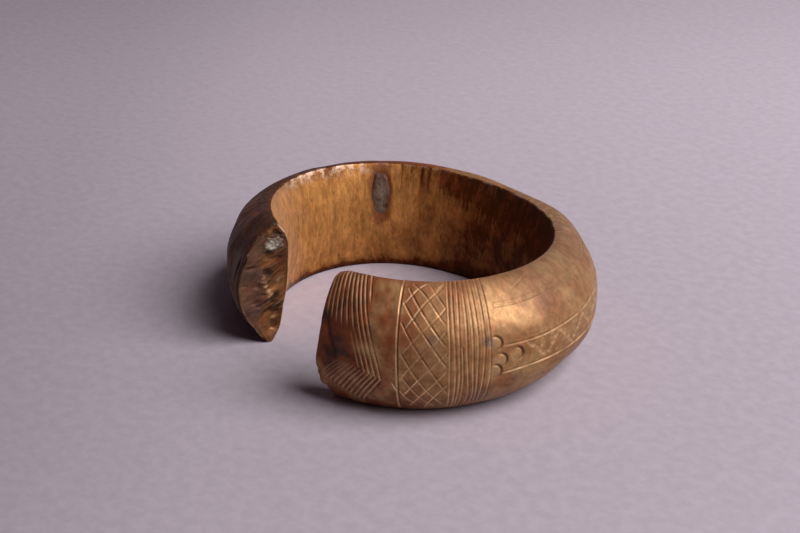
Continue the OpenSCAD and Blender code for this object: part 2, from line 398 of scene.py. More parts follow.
@dataclass(frozen=True)
class Chasing:
    """The incised pattern of one terminal: fan, border, lattice, comb, ring punches and long lines.

    A cut is the tool's width and depth, the share of the depth at its start and end, its burr and the strength
    of its worn crest's painted highlight.
    A series is a first value and a step. A fan is a cut, a count, series of places and slants, a top and a
    series of lower ends.
    """

    fans: tuple[tuple[Cut, int, Span, Span, float, Span], ...] = (
        ((0.42, 0.22, 1.0, 0.15, 0.05, 0.8), 6, (0.85, 1.0), (0.3, 0.13), 1.1, (0.5, -0.02)),
        ((0.42, 0.22, 1.0, 0.8, 0.05, 0.9), 3, (6.9, 1.0), (1.0, 0.0), 1.1, (-0.2, -0.035)),
        ((0.42, 0.22, 1.0, 0.2, 0.05, 1.0), 1, (10.25, 0.0), (0.85, 0.0), 1.1, (0.76, 0.0)),
        ((0.42, 0.22, 0.2, 0.7, 0.05, 1.0), 2, (5.9, -1.0), (1.0, 0.0), 0.37, (-0.17, 0.06)))
    foot_cut: Cut = (0.52, 0.308, 0.7, 0.3, 0.08, 0.8)
    fall_cut: Cut = (0.42, 0.18, 0.85, 0.5, 0.04, 0.65)
    climb_cut: Cut = (0.42, 0.16, 0.5, 0.85, 0.04, 1.0)
    border_cut: Cut = (0.46, 0.22, 1.0, 0.5, 0.05, 0.8)
    tick_cut: Cut = (0.5, 0.24, 0.35, 0.35, 0.05, 1.0)
    comb_cut: Cut = (0.4, 0.12, 1.0, 0.5, 0.05, 0.5)
    groove_cut: Cut = (0.46, 0.16, 0.3, 1.0, 0.03, 1.0)
    shoulder_cut: Cut = (0.7, 0.12, 0.8, 0.1, 0.06, 0.5)
    nick_cut: Cut = (0.4, 0.14, 0.4, 0.9, 0.03, 0.3)
    scratch_cut: Cut = (0.4, 0.08, 0.3, 0.3, 0.02, 0.3)
    crease_cut: Cut = (1.4, 0.48, 0.3, 0.3, 0.0, 0.0)
    rim_w: float = 1.1
    fan_points: int = 5
    slant_run: float = 6.8
    slant_bend: float = 1.85
    foot_strokes: int = 12
    foot_pitch: float = 0.8
    foot_corner: Place = (14.6, -0.285)
    foot_rise: float = 0.02
    foot_top: float = -0.12
    foot_fall: Span = (-0.54, 0.018)
    foot_bend: Place = (2.1, 0.4)
    foot_reach: float = 5.0
    foot_stop: float = 1.3
    levels: tuple[float, ...] = (0.88, 0.62, 0.3, -0.15, -0.55, -0.9)
    border_at: float = 17.75
    border_bow: float = 0.3
    tick: Path = ((16.8, -0.3), (17.6, -0.43))
    comb_at: float = 27.5
    comb_top: tuple[float, ...] = (0, 0.95, 2.05, 2.6, 3.3, 4.4, 5.5, 7.0, 8.1)
    comb_low: tuple[float, ...] = (0, 1.0, 1.6, 2.25, 3.4, 4.4, 5.1, 6.0, 7.25)
    comb_from: float = 0.5
    comb_span: float = 1.3
    comb_bow: float = 1.1
    comb_sway: Place = (0.1, 5.0)
    comb_stub: int = 3
    stub_level: int = 3
    upper_w: float = 0.26
    lower_w: float = -0.152
    shoulder_w: float = 0.76
    back_s: float = 108.0
    upper: Path = ((38.0, 0), (44, 0.004), (50.5, 0.025), (62, 0.06), (85, 0.05), (108.0, 0.04))
    lower: Path = ((37.3, -0.02), (43.4, 0.008), (48, 0.012), (60, 0), (85, 0.01), (108.0, 0.01))
    shoulder: Path = ((38.2, -0.005), (42, -0.01), (47, 0), (58, 0.02), (72, -0.01), (90, -0.03))
    nick: Path = ((61.2, 0.84), (63.5, 0.92), (66.2, 1.0))
    scratch: Path = ((43.2, 0.88), (46.5, 0.93), (49.8, 0.975))
    crease: Path = ((1.5, 0.5), (2.6, 0.3), (4.0, 0.1), (5.1, -0.08))
    zigzag_at: float = 42.9
    zigzag_inset: Span = (0.07, 0.04)
    tooth: float = 4.0
    tooth_dots: int = 9
    dot_shift: float = 0.25
    dot_scatter: float = 0.035
    dot_size: Span = (0.26, 0.42)
    dot_bright: Span = (0.9, 2.0)
    stray_dots: int = 80
    stray_run: Span = (42.0, 72.0)
    stray_over: float = 0.03
    stray_size: Span = (0.2, 0.34)
    stray_bright: Span = (0.3, 0.9)
    punches: Path = ((36.2, 0.3), (37.05, 0.03), (35.9, -0.14), (40.4, 0.08))
    climb_bright: tuple[float, ...] = (1.0, 1.0, 1.1, 1.35, 1.75, 1.75, 1.35, 1.1)
    falls: tuple[Path, ...] = (
        ((24.3, 1.02), (27.5, 0.78)),
        ((20.6, 1.02), (23.3, 0.9), (27.0, 0.61)),
        ((19.6, 0.96), (22.9, 0.7), (26.7, 0.34)),
        ((18.7, 0.82), (22.6, 0.49), (26.9, 0.01)),
        ((18.5, 0.6), (22.3, 0.15), (26.8, -0.42)),
        ((18.5, 0.19), (21.9, -0.25), (26.2, -0.7)),
        ((18.7, -0.19), (21.4, -0.49), (25.0, -0.8)),
        ((18.3, -0.44), (19.6, -0.6), (21.4, -0.72)))
    climbs: tuple[Path, ...] = (
        ((26.0, 0.95), (27.9, 1.02)),
        ((18.7, 0.8), (21.3, 0.94), (23.8, 1.02)),
        ((18.9, 0.5), (22.8, 0.8), (27.6, 0.99)),
        ((18.5, 0.16), (22.6, 0.5), (27.4, 0.77)),
        ((18.4, -0.21), (22.3, 0.16), (27.0, 0.5)),
        ((18.8, -0.52), (22.2, -0.18), (27.0, 0.2)),
        ((19.9, -0.76), (22.4, -0.49), (27.0, -0.06)),
        ((22.8, -0.8), (25.1, -0.48), (27.0, -0.3)))

    def fan_line(self, at: float, slant: float, top: float, low: float) -> Path:
        """Path of one line of the fan.

        Args:
            at: Distance from the end, at the rim.
            slant: Share of the full slant.
            top: Height share at which it starts.
            low: Height share at which it stops.

        Returns:
            The path.
        """
        drops = np.linspace(1 - top, 1 - low, self.fan_points)
        runs = slant * (self.slant_run * drops - self.slant_bend * drops * drops)
        return tuple((float(at + run), float(1 - drop)) for run, drop in zip(runs, drops))

    def fan(self) -> list[Stroke]:
        """Lines that fan out from the rim; the longer ones turn back below the middle.

        Returns:
            The strokes.
        """
        lines = []
        for cut, count, at, slant, top, low in self.fans:
            for i in range(count):
                path = self.fan_line(nth(at, i), nth(slant, i), top, nth(low, i))
                lines.append(Stroke(path, *cut))
        return lines

    def foot(self) -> list[Stroke]:
        """Parallel strokes that run back from the fan's turned ends towards the foot of the end.

        Returns:
            The strokes.
        """
        strokes = []
        for i in range(self.foot_strokes):
            s = self.foot_corner[0] - self.foot_pitch * i
            w = min(self.foot_corner[1] + self.foot_rise * i, self.foot_top)
            fall = nth(self.foot_fall, i)
            bend = (s - self.foot_bend[0], w + self.foot_bend[1] * fall)
            path = ((s, w), bend, (max(s - self.foot_reach, self.foot_stop), w + fall))
            strokes.append(Stroke(path, *self.foot_cut))
        return strokes

    def lattice(self) -> list[Stroke]:
        """Two families of strokes that cross between the border line and the comb."""
        pairs = zip(self.climbs, self.climb_bright)
        return [Stroke(path, *self.fall_cut) for path in self.falls] + [
            Stroke(path, *self.climb_cut[:-1], bright) for path, bright in pairs]

    def uprights(self) -> list[Stroke]:
        """Border line, its tick, and the comb of lines, which bows out at the rim.

        Returns:
            The strokes.
        """
        levels = (self.rim_w, *self.levels)
        bows = [self.border_bow * (max(w, 0) ** 4 - max(-w, 0) ** 2) for w in levels]
        border = tuple((self.border_at + bow, w) for bow, w in zip(bows, levels))
        strokes = [Stroke(border, *self.border_cut), Stroke(self.tick, *self.tick_cut)]
        for i, (top, low) in enumerate(zip(self.comb_top, self.comb_low)):
            path = []
            for w in levels:
                share = min(max((w + self.comb_from) / self.comb_span, 0), 1)
                sway = self.comb_sway[0] * np.sin(self.comb_sway[1] * w + i)
                at = self.comb_at + low + (top - low) * share + self.comb_bow * max(w, 0) ** 3 + sway
                path.append((float(at), w))
            first = self.stub_level if i == self.comb_stub else 0
            strokes.append(Stroke(tuple(path[first:]), *self.comb_cut))
        return strokes

    def long_lines(self) -> list[Stroke]:
        """Two long lines and the fainter line on the shoulder, to the back, with a nick and a scratch.

        Returns:
            The strokes.
        """
        runs = (
            (self.upper, self.upper_w, self.groove_cut),
            (self.lower, self.lower_w, self.groove_cut),
            (self.shoulder, self.shoulder_w, self.shoulder_cut),
            (self.nick, 0.0, self.nick_cut),
            (self.scratch, 0.0, self.scratch_cut))
        return [Stroke(tuple((s, base + w) for s, w in path), *cut) for path, base, cut in runs]

    def dots(self) -> list[tuple[float, float, float, float]]:
        """Specks of the punched zigzag between the two long lines, with stray ones.

        Returns:
            The place, size and brightness of each.
        """
        chance = np.random.default_rng(4)
        spots = []
        s, rising = self.zigzag_at, False
        low, high = self.lower_w + self.zigzag_inset[0], self.upper_w - self.zigzag_inset[1]
        while s < self.back_s - 1:
            for i in range(self.tooth_dots):
                t = (i + chance.uniform(-self.dot_shift, self.dot_shift)) / self.tooth_dots
                w = low + (high - low) * (t if rising else 1 - t)
                w += chance.uniform(-self.dot_scatter, self.dot_scatter)
                size, bright = chance.uniform(*self.dot_size), chance.uniform(*self.dot_bright)
                spots.append((s + self.tooth * t, w, size, bright))
            s, rising = s + self.tooth, not rising
        for _ in range(self.stray_dots):
            at = chance.uniform(*self.stray_run)
            w = chance.uniform(low - self.stray_over, high + self.stray_over)
            spots.append((at, w, chance.uniform(*self.stray_size), chance.uniform(*self.stray_bright)))
        return spots

    def strokes(self) -> list[Stroke]:
        """All straight and curved cuts of one terminal."""
        crease = Stroke(self.crease, *self.crease_cut)
        return self.fan() + self.foot() + self.lattice() + self.uprights() + self.long_lines() + [crease]


@dataclass(frozen=True)
class ToolMark:
    """Section of a stroke across its half width, with its unevenness, dirt with painted shade on the wall away
    from the light, and a worn crest with a painted highlight on the wall towards the light.
    """

    reach: float = 1.6
    ahead: float = 0.5
    # direction of the light that the painted highlight and painted shade of the grooves follow: along the band
    # and up
    light: Place = (0.8, 0.6)
    depth_mean: float = 0.88
    uneven: NoiseMix = ((0.5, 60, 1.9),)
    depth_limits: Span = (0.35, 1.15)
    near: float = 0.02
    groove: Span = (1.05, 0.4)
    burr: Span = (1.5, 0.4)
    crest: Span = (0.7, 0.55)
    crest_to: float = 1.3
    crest_fall: float = 9.0
    dirt_to: float = 1.5
    # painted shade: the dirt is made heavier on the groove wall that faces away from the light
    shade_lean: Span = (0.5, 0.8)
    full_depth: float = 0.24
    # painted highlight: the crests are made brighter on the lower rows
    low_gain: float = 2.8
    low_rows: Span = (0.2, -0.6)


@dataclass(frozen=True)
class RingPunch:
    """A ring punch that is pressed in deeper on its far side."""

    radius: float = 1.35
    reach: float = 2.4
    ahead: float = 0.5
    rise: float = 0.35
    near: float = 0.05
    press: Span = (0.2, 0.85)
    press_limits: Span = (0.08, 1.0)
    wall: float = 0.3
    depth: float = 0.42
    dirt_to: float = 1.3
    flat: float = 0.4
    dome: float = 0.03
    # a lighter inside, and a painted highlight ring on the punch's shallow side
    shine_at: Span = (0.8, 0.25)
    shine: Span = (0.5, 0.8)


@dataclass(frozen=True)
class Layer:
    """A soft patch of the skin: its strength and the soft steps that bound it, over named coordinates."""

    strength: float
    steps: tuple[tuple[str, float, float], ...]

    def over(self, axes: Masks) -> Array:
        """The patch over the skin, from the coordinates by name."""
        return self.strength * math.prod(smooth(low, high, axes[name]) for name, low, high in self.steps)


Layers = tuple[Layer, ...]


@dataclass
class PatinaAndPaintedLight:
    """Tarnish, stains and rubbed edges of the casting's skin, with painted shade and painted highlights in
    places.

    A layer's steps run over the coordinates that the method axes names. A spot is a place on the right
    terminal, with the size and the strength of its mark.
    """

    ring: "RingCasting"
    drift: NoiseMix = ((0.5, 0, 9.0), (0.3, 40, 4.0))
    patch_mix: NoiseMix = ((0.6, 71, 3.2), (0.4, 29, 1.5))
    ruddy_mix: NoiseMix = ((1.0, 83, 2.8), (0.5, 19, 1.2))
    grazing_sheen_mix: NoiseMix = ((4, 23, 3.0), (2, 37, 1.1))
    spot_mix: NoiseMix = ((0.35, 0, 1.6),)
    fill_mix: NoiseMix = ((0.2, 9, 1.3),)
    drifts: tuple[tuple[str, str, float], ...] = (
        ("run_drift", "run", 5), ("crown", "share", 0.3), ("foot", "height", 1.8), ("under_top", "under", 2.5),
        ("under_drip", "under", 2), ("beside_fill", "from_fill", 0.9))
    facet_slant: Span = (5, 0.1)
    run_size: Place = (0.5, 8)
    spot_edge: Span = (1.5, 0.5)
    face_shares: Span = (0.26, 0.4)
    wall_shares: Span = (0.08, 0.3)
    # the tarnish mask may run up to 1.9, so that the painted shade of the left terminal reaches the dark colour
    most: float = 1.9
    field_at: Place = (5.2, 0.16)
    field_size: Place = (3.6, 0.36)
    field_share: float = 1.2
    comb_at: float = 31.5
    comb_half: float = 4.0
    comb: Layer = Layer(0.32, (("share", -0.1, 0.5),))
    patches: Layer = Layer(1.2, (("run", 24, 14),))
    fan_calm: Layer = Layer(0.65, (("run", 13, 8), ("share", 0.0, 0.4)))
    # painted sheen on the left part of the inner wall, where it is seen at a grazing angle
    grazing_sheen: Layer = Layer(0.24, (("wall", 0, 1), LEFT, ("grazing_sheen", 276, 299)))
    face: Layers = (
        Layer(0.38, (("run_drift", 26, 3), RIGHT)),
        Layer(0.456, (("run_drift", 26, 3), LEFT)),
        # painted shade: the left terminal's outer face, which faces away from the light, darkened
        Layer(1.15, (("run", 100, 45), LEFT)),
        Layer(0.06, (("run", 38, 52), ("crown", 0.3, 0.9), RIGHT)),
        Layer(0.58, (("run", 13, 8), ("share", 0.3, 0.55))),
        Layer(-0.25, (("facet", 4.5, 1.5), ("share", 0.45, 0.1), ("share", -0.65, -0.4), RIGHT)),
        # painted shade: the left terminal darkened further next to its end
        Layer(0.35, (("run", 7, 1), LEFT)),
        Layer(0.35, (("run", 3.2, 0.4), ("half", 0.8, 0.5), RIGHT)),
        Layer(0.5, (("past_rim", -12, -2), ("turn", 200, 230))))
    wall: Layers = (
        Layer(0.45, (("under_top", 7.5, 0.5), ("turn", 250, 200))),
        # darker towards the foot of the wall, more on its right part
        Layer(0.7225, (("foot", 4.4, 0.6), ("turn", 330, 305))),
        Layer(0.1275, (("foot", 4.4, 0.6), ("turn", 330, 305), ("turn", 240, 190))),
        # painted contact shade: a thin dark line at the very foot of the wall
        Layer(0.595, (("height", 1.6, 0.3),)),
        # painted shade: the right part of the inner wall, which the light does not reach, darkened
        Layer(0.72, (("turn", 240, 190),)),
        Layer(0.4, (("drips", 0.0, 0.5), ("under_drip", 9, 1), ("turn", 252, 240))),
        Layer(0.3, (("under", 3.2, 0.2), ("turn", 240, 252))))
    stains: Layers = (
        Layer(0.9, (("fill", 1.25, 1.0),)),
        Layer(0.75, (("beside_fill", 2.2, 0.8), ("over_fill", 0, 2))),
        Layer(0.33, (("run", 38, 52), ("crown", 0.3, 0.9), RIGHT, ("face", 0, 1))))
    flushes: Layers = (
        Layer(1.0, (("fill", 1.55, 1.15),)),
        Layer(0.9, (("run", 30, 18), ("ruddy", -0.1, 0.6), RIGHT, ("face", 0, 1))))
    rims: Layers = (
        Layer(1.0, (("turn", 236, 256), ("turn", 294, 278), ("from_inner", 12, 1))),
        Layer(0.25, (("from_inner", 2, 0),)),
        Layer(0.25, (("from_outer", 6, 1),)),
        # painted highlight: a pale band along the outer rim on the right, broken up like scuffs
        Layer(0.9, (("turn", 118, 136), ("turn", 190, 165), ("from_outer", 34, 4), ("face", 0, 1))))
    # rubbed edges of the two ends, stronger near the top as a painted highlight, and near the foot
    ends: Layers = (
        Layer(0.3, (("run", 0.45, 0.0),)),
        Layer(0.7, (("run", 0.45, 0.0), ("height", 21.5, 25.2))),
        Layer(0.3, (("run", 0.45, 0.0), ("height", 7, 3))))
    stain_spots: tuple[Spot, ...] = (
        ((35.0, 0.33), 0.9, 1.0), ((24.6, 0.42), 1.3, 0.55), ((33.5, -0.55), 2.4, 0.55),
        ((40.6, -0.33), 1.2, 0.5), ((23.8, 0.2), 0.8, 0.3), ((6.0, 0.1), 1.8, 0.3), ((12.6, 0.42), 1.2, 0.25))
    flush_spots: tuple[Spot, ...] = (
        ((38.2, -0.36), 2.0, 0.9), ((33.0, -0.5), 3.0, 0.4), ((14.0, 0.75), 2.5, 0.35))

    def axes(self) -> Masks:
        """Coordinates over the skin that the layers are set against.

        Returns:
            The casting's own coordinates, and those with the tarnish's drift and around the fill, by name.
        """
        ring, noise, grid = self.ring, self.ring.noise, self.ring.grid
        axes = ring.coordinates(grid[..., 2])
        s, ph, w, z, column = (axes[name] for name in ("run", "turn", "share", "height", "column"))
        rows, rim = ring.outer_rows, ring.outer_rows + ring.land_cols
        drift, under, lay = noise.layers(grid, self.drift), ring.plan.height(ph) - z, ring.lay()
        drips = np.stack([lay[..., 0] / self.run_size[0], lay[..., 1] / self.run_size[1], 0 * z], -1)
        fill, away = ring.fill_share()
        axes |= {
            "drift": drift, "half": np.abs(w), "facet": s + self.facet_slant[0] * (w - self.facet_slant[1]),
            "past_rim": column - rows, "from_outer": np.abs(column - rows), "from_inner": np.abs(column - rim),
            "wall": column > rim, "face": (column < rim) | (column > rim + ring.inner_rows),
            "under": under, "drips": noise.at(drips, 1.0), "ruddy": noise.layers(grid, self.ruddy_mix),
            "grazing_sheen": ph + noise.layers(grid, self.grazing_sheen_mix), "over_fill": away[..., 2],
            "fill": fill * (1 + noise.layers(grid, self.fill_mix)),
            "from_fill": np.linalg.norm(away[..., :2], axis=-1)}
        return axes | {name: axes[base] + share * drift for name, base, share in self.drifts}

    def masks(self) -> Masks:
        """All masks that the skin gets: tarnish with painted shade, stains, painted sheen and rubbed edges.

        Returns:
            The masks by name.
        """
        axes = self.axes()
        s, w, drift = (axes[name] for name in ("run", "share", "drift"))
        field_s = (s - self.field_at[0]) / self.field_size[0]
        field_w = (w - self.field_at[1]) / self.field_size[1]
        patches = self.patches.over(axes) * self.ring.noise.layers(self.ring.grid, self.patch_mix)
        face = self.face_shares[0] + self.face_shares[1] * drift + patches * (1 - self.fan_calm.over(axes))
        face = face + self.field_share * np.exp(-(field_s**2) - field_w**2)
        face = face + np.exp(-(((s - self.comb_at) / self.comb_half) ** 2)) * self.comb.over(axes)
        face = sum((layer.over(axes) for layer in self.face), face)
        wall = self.wall_shares[0] + self.wall_shares[1] * drift
        wall = sum((layer.over(axes) for layer in self.wall), wall)
        kinds = (self.stains, self.flushes, self.rims)
        stains, flushes, rims = ([layer.over(axes) for layer in layers] for layers in kinds)
        stains += [share * self.blob(spot, size) for spot, size, share in self.stain_spots]
        flushes += [share * self.blob(spot, size) for spot, size, share in self.flush_spots]
        rims.append(sum(layer.over(axes) for layer in self.ends))
        masks = {
            Mark.TARNISH: np.clip(np.where(axes["face"], face, wall), 0, self.most),
            Mark.CREST: self.grazing_sheen.over(axes),
            Mark.STAIN: functools.reduce(np.maximum, stains),
            Mark.FLUSH: functools.reduce(np.maximum, flushes),
            Mark.EDGE: functools.reduce(np.maximum, rims)}
        return {mark.value: values for mark, values in masks.items()}

    def blob(self, spot: Place, size: float) -> Array:
        """A soft spot on the right terminal, with an uneven edge.

        Args:
            spot: Place of its middle.
            size: Its radius, in millimetres.

        Returns:
            The spot's mask.
        """
        grid, centre = self.ring.grid, self.ring.spot_at(Side.RIGHT, spot)
        gap = np.linalg.norm(grid - centre, axis=-1) * (1 + self.ring.noise.layers(grid, self.spot_mix))
        return smooth(self.spot_edge[0] * size, self.spot_edge[1] * size, gap)


@dataclass
class EndFace:
    """One filed end of the casting, with pits, rubbed spots, a brown skin and, on the left, a fill's seat.

    A spot is an outward offset, a height, a size and a strength.
    """

    ring: "RingCasting"
    side: Side
    seed: int
    pits: Rows = (
        (2.5, 16.1, 1.0, 1.0), (4.0, 13.0, 0.7, 0.8), (0.2, 10.6, 0.9, 1.0), (1.3, 9.3, 0.6, 0.7),
        (1.0, 24.5, 0.7, 0.9), (4.9, 9.4, 0.35, 0.8), (4.3, 8.6, 0.3, 0.8))
    shines: Rows = (
        (3.3, 14.8, 0.25, 0.6), (2.9, 13.8, 0.3, 0.8), (2.5, 12.8, 0.35, 0.9), (2.1, 11.8, 0.45, 1.0),
        (1.7, 11.2, 0.45, 0.9), (2.0, 10.6, 0.35, 0.6), (0.9, 5.6, 0.4, 0.5), (0.2, 13.8, 0.4, 0.4))
    pit_edge: Span = (1.4, 0.4)
    pit_mix: NoiseMix = ((0.4, 31, 0.9),)
    shine_edge: Span = (1.5, 0.4)
    shine_mix: NoiseMix = ((0.5, 71, 0.8),)
    file_way: Place = (0.88, 0.47)
    file_size: Colour = (0.6, 4.5, 1.0)
    file_finer: Span = (2.1, 9)
    file_shares: Span = (0.7, 0.5)
    cloud_mix: NoiseMix = ((1.0, 0, 2.6),)
    fine_mix: NoiseMix = ((1.0, 13, 0.7),)
    hole_mix: NoiseMix = ((1.0, 37, 1.3),)
    lump_mix: NoiseMix = ((0.35, 3, 4.5),)
    heights: ClassVar[dict[str, float]] = {
        "cloud": 0.2, "fine": 0.08, "streak": 0.16, "pit": -0.5, "shine": 0.25}
    seat_half: Place = (2.3, 1.5)
    seat_edge: Span = (1.1, 0.95)
    seat_deep: float = 0.12
    tarnish_shares: tuple[float, float, float, float] = (0.34, 0.4, 0.4, 0.2)

    def places(self, points: Array) -> Pair:
        """Outward offsets and heights of points in the plane of the end.

        Args:
            points: The points.

        Returns:
            The offsets from the rim's curve, and the heights.
        """
        p, ph = self.ring.plan, np.array(self.ring.plan.gap_half * self.side.value)
        radial, _, outward = p.axes(ph)
        flat = (points + self.ring.shift)[..., :2] - radial * p.rim(ph)
        return flat @ outward - p.lean(ph) * (p.height(ph) / 2 - points[..., 2]), points[..., 2]

    def sheet(self, loop: Array) -> Array:
        """Points of the plain end between the outer and the inner side of its loop.

        Args:
            loop: Points of the end's section.

        Returns:
            Points of rows by columns, of which the first and the last are the loop's own.
        """
        rows, cols, low = self.ring.outer_rows, self.ring.land_cols, self.ring.inner_rows
        coarse = loop[rows + cols: rows + cols + low + 1][::-1]
        at = np.linspace(0, low, rows + 1)
        inner = np.stack([np.interp(at, np.arange(low + 1), coarse[:, k]) for k in range(3)], -1)
        t = np.linspace(0, 1, cols + 1)[None, :, None]
        face = loop[: rows + 1][:, None, :] * (1 - t) + inner[:, None, :] * t
        face[-1, :, :] = loop[rows: rows + cols + 1]
        face[0, :, :] = np.concatenate([loop[:1], loop[rows + cols + low:][::-1]])
        return face

    @staticmethod
    def spots(n: Array, z: Array, rough: Array, spots: Iterable[tuple[float, ...]], edge: Span) -> Array:
        """Mask of some uneven spots.

        Args:
            n: Outward offsets of the points.
            z: Heights of the points.
            rough: Unevenness of the spots' edges.
            spots: The spots.
            edge: Soft edge of a spot, in its sizes.

        Returns:
            The mask.
        """
        mask = np.zeros(n.shape)
        for at_n, at_z, size, strength in spots:
            gap = np.hypot(n - at_n, z - at_z) * (1 + rough)
            mask = np.maximum(mask, strength * smooth(edge[0] * size, edge[1] * size, gap))
        return mask

    def seat(self, n: Array, z: Array) -> Array:
        """Distance from the middle of the fill's seat, in its half widths; large where there is none.

        Args:
            n: Outward offsets of the points.
            z: Heights of the points.

        Returns:
            The distances.
        """
        if self.side is Side.RIGHT:
            return np.full(n.shape, 9.0)
        low_box, high_box = (np.array(v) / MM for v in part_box("end_plug"))
        fill_n, fill_z = self.places((low_box + high_box) / 2)
        return np.hypot((n - fill_n) / self.seat_half[0], (z - fill_z) / self.seat_half[1])

    def build(self, loop: Array, out: Array) -> tuple[Array, Masks, Array]:
        """The rough end face.

        Args:
            loop: Points of the end's section.
            out: Direction in which the end faces.

        Returns:
            Points of rows by columns, their masks, and coordinates across and along the file's strokes.
        """
        face, noise = self.sheet(loop), HandNoise(self.seed)
        n, z = self.places(face)
        (far, aside), (times, shift) = self.file_way, self.file_finer
        lay = np.stack([far * z + aside * n, far * n - aside * z, 0 * n], -1)
        slant = lay / np.array(self.file_size)
        broad, finer = noise.at(slant, 1.0), noise.at(slant * times + shift, 1.0)
        streak = self.file_shares[0] * broad + self.file_shares[1] * finer
        cloud, fine = noise.layers(face, self.cloud_mix), noise.layers(face, self.fine_mix)
        skin = smooth(2.4, 4.6, n + 0.9 * cloud)
        pit = self.spots(n, z, noise.layers(face, self.pit_mix), self.pits, self.pit_edge)
        shine = self.spots(n, z, noise.layers(face, self.shine_mix), self.shines, self.shine_edge)
        pit = np.maximum(pit, 0.7 * smooth(0.45, 0.75, noise.layers(face, self.hole_mix)))
        seat = self.seat(n, z)
        layers = {"cloud": cloud, "fine": fine, "streak": streak * (1 - skin), "pit": pit, "shine": shine}
        rough = noise.layers(face, self.lump_mix)
        rough = sum((self.heights[name] * layer for name, layer in layers.items()), rough)
        rough = rough * smooth(0.95, 1.4, seat) - self.seat_deep * smooth(*self.seat_edge, seat)
        rows, cols = n.shape
        rough = rough * self.calm(cols, 2.5)[None, :] * self.calm(rows, 8)[:, None]
        base, clouded, streaked, grained = self.tarnish_shares
        filed = streaked * streak * (1 - 0.7 * skin)
        bright = 0.5 * smooth(0.25, 0.8, streak) * (1 - skin)
        masks = {
            Mark.TARNISH: np.clip(base + clouded * cloud + filed + grained * fine, 0, 1),
            Mark.LINE: np.maximum(0.85 * pit, 0.3 * smooth(1.2, 1.0, seat)),
            Mark.CREST: 1.9 * shine + bright,
            Mark.STAIN: np.maximum(0.85 * skin, 0.6 * smooth(1.7, 1.1, seat))}
        return face + out * rough[..., None], {mark.value: values for mark, values in masks.items()}, lay

    @staticmethod
    def calm(count: int, reach: float) -> Array:
        """Share of the roughness over a count of points: none at the first and the last."""
        index = np.arange(count)
        return np.minimum(smooth(0, reach, index), smooth(count - 1, count - 1 - reach, index))


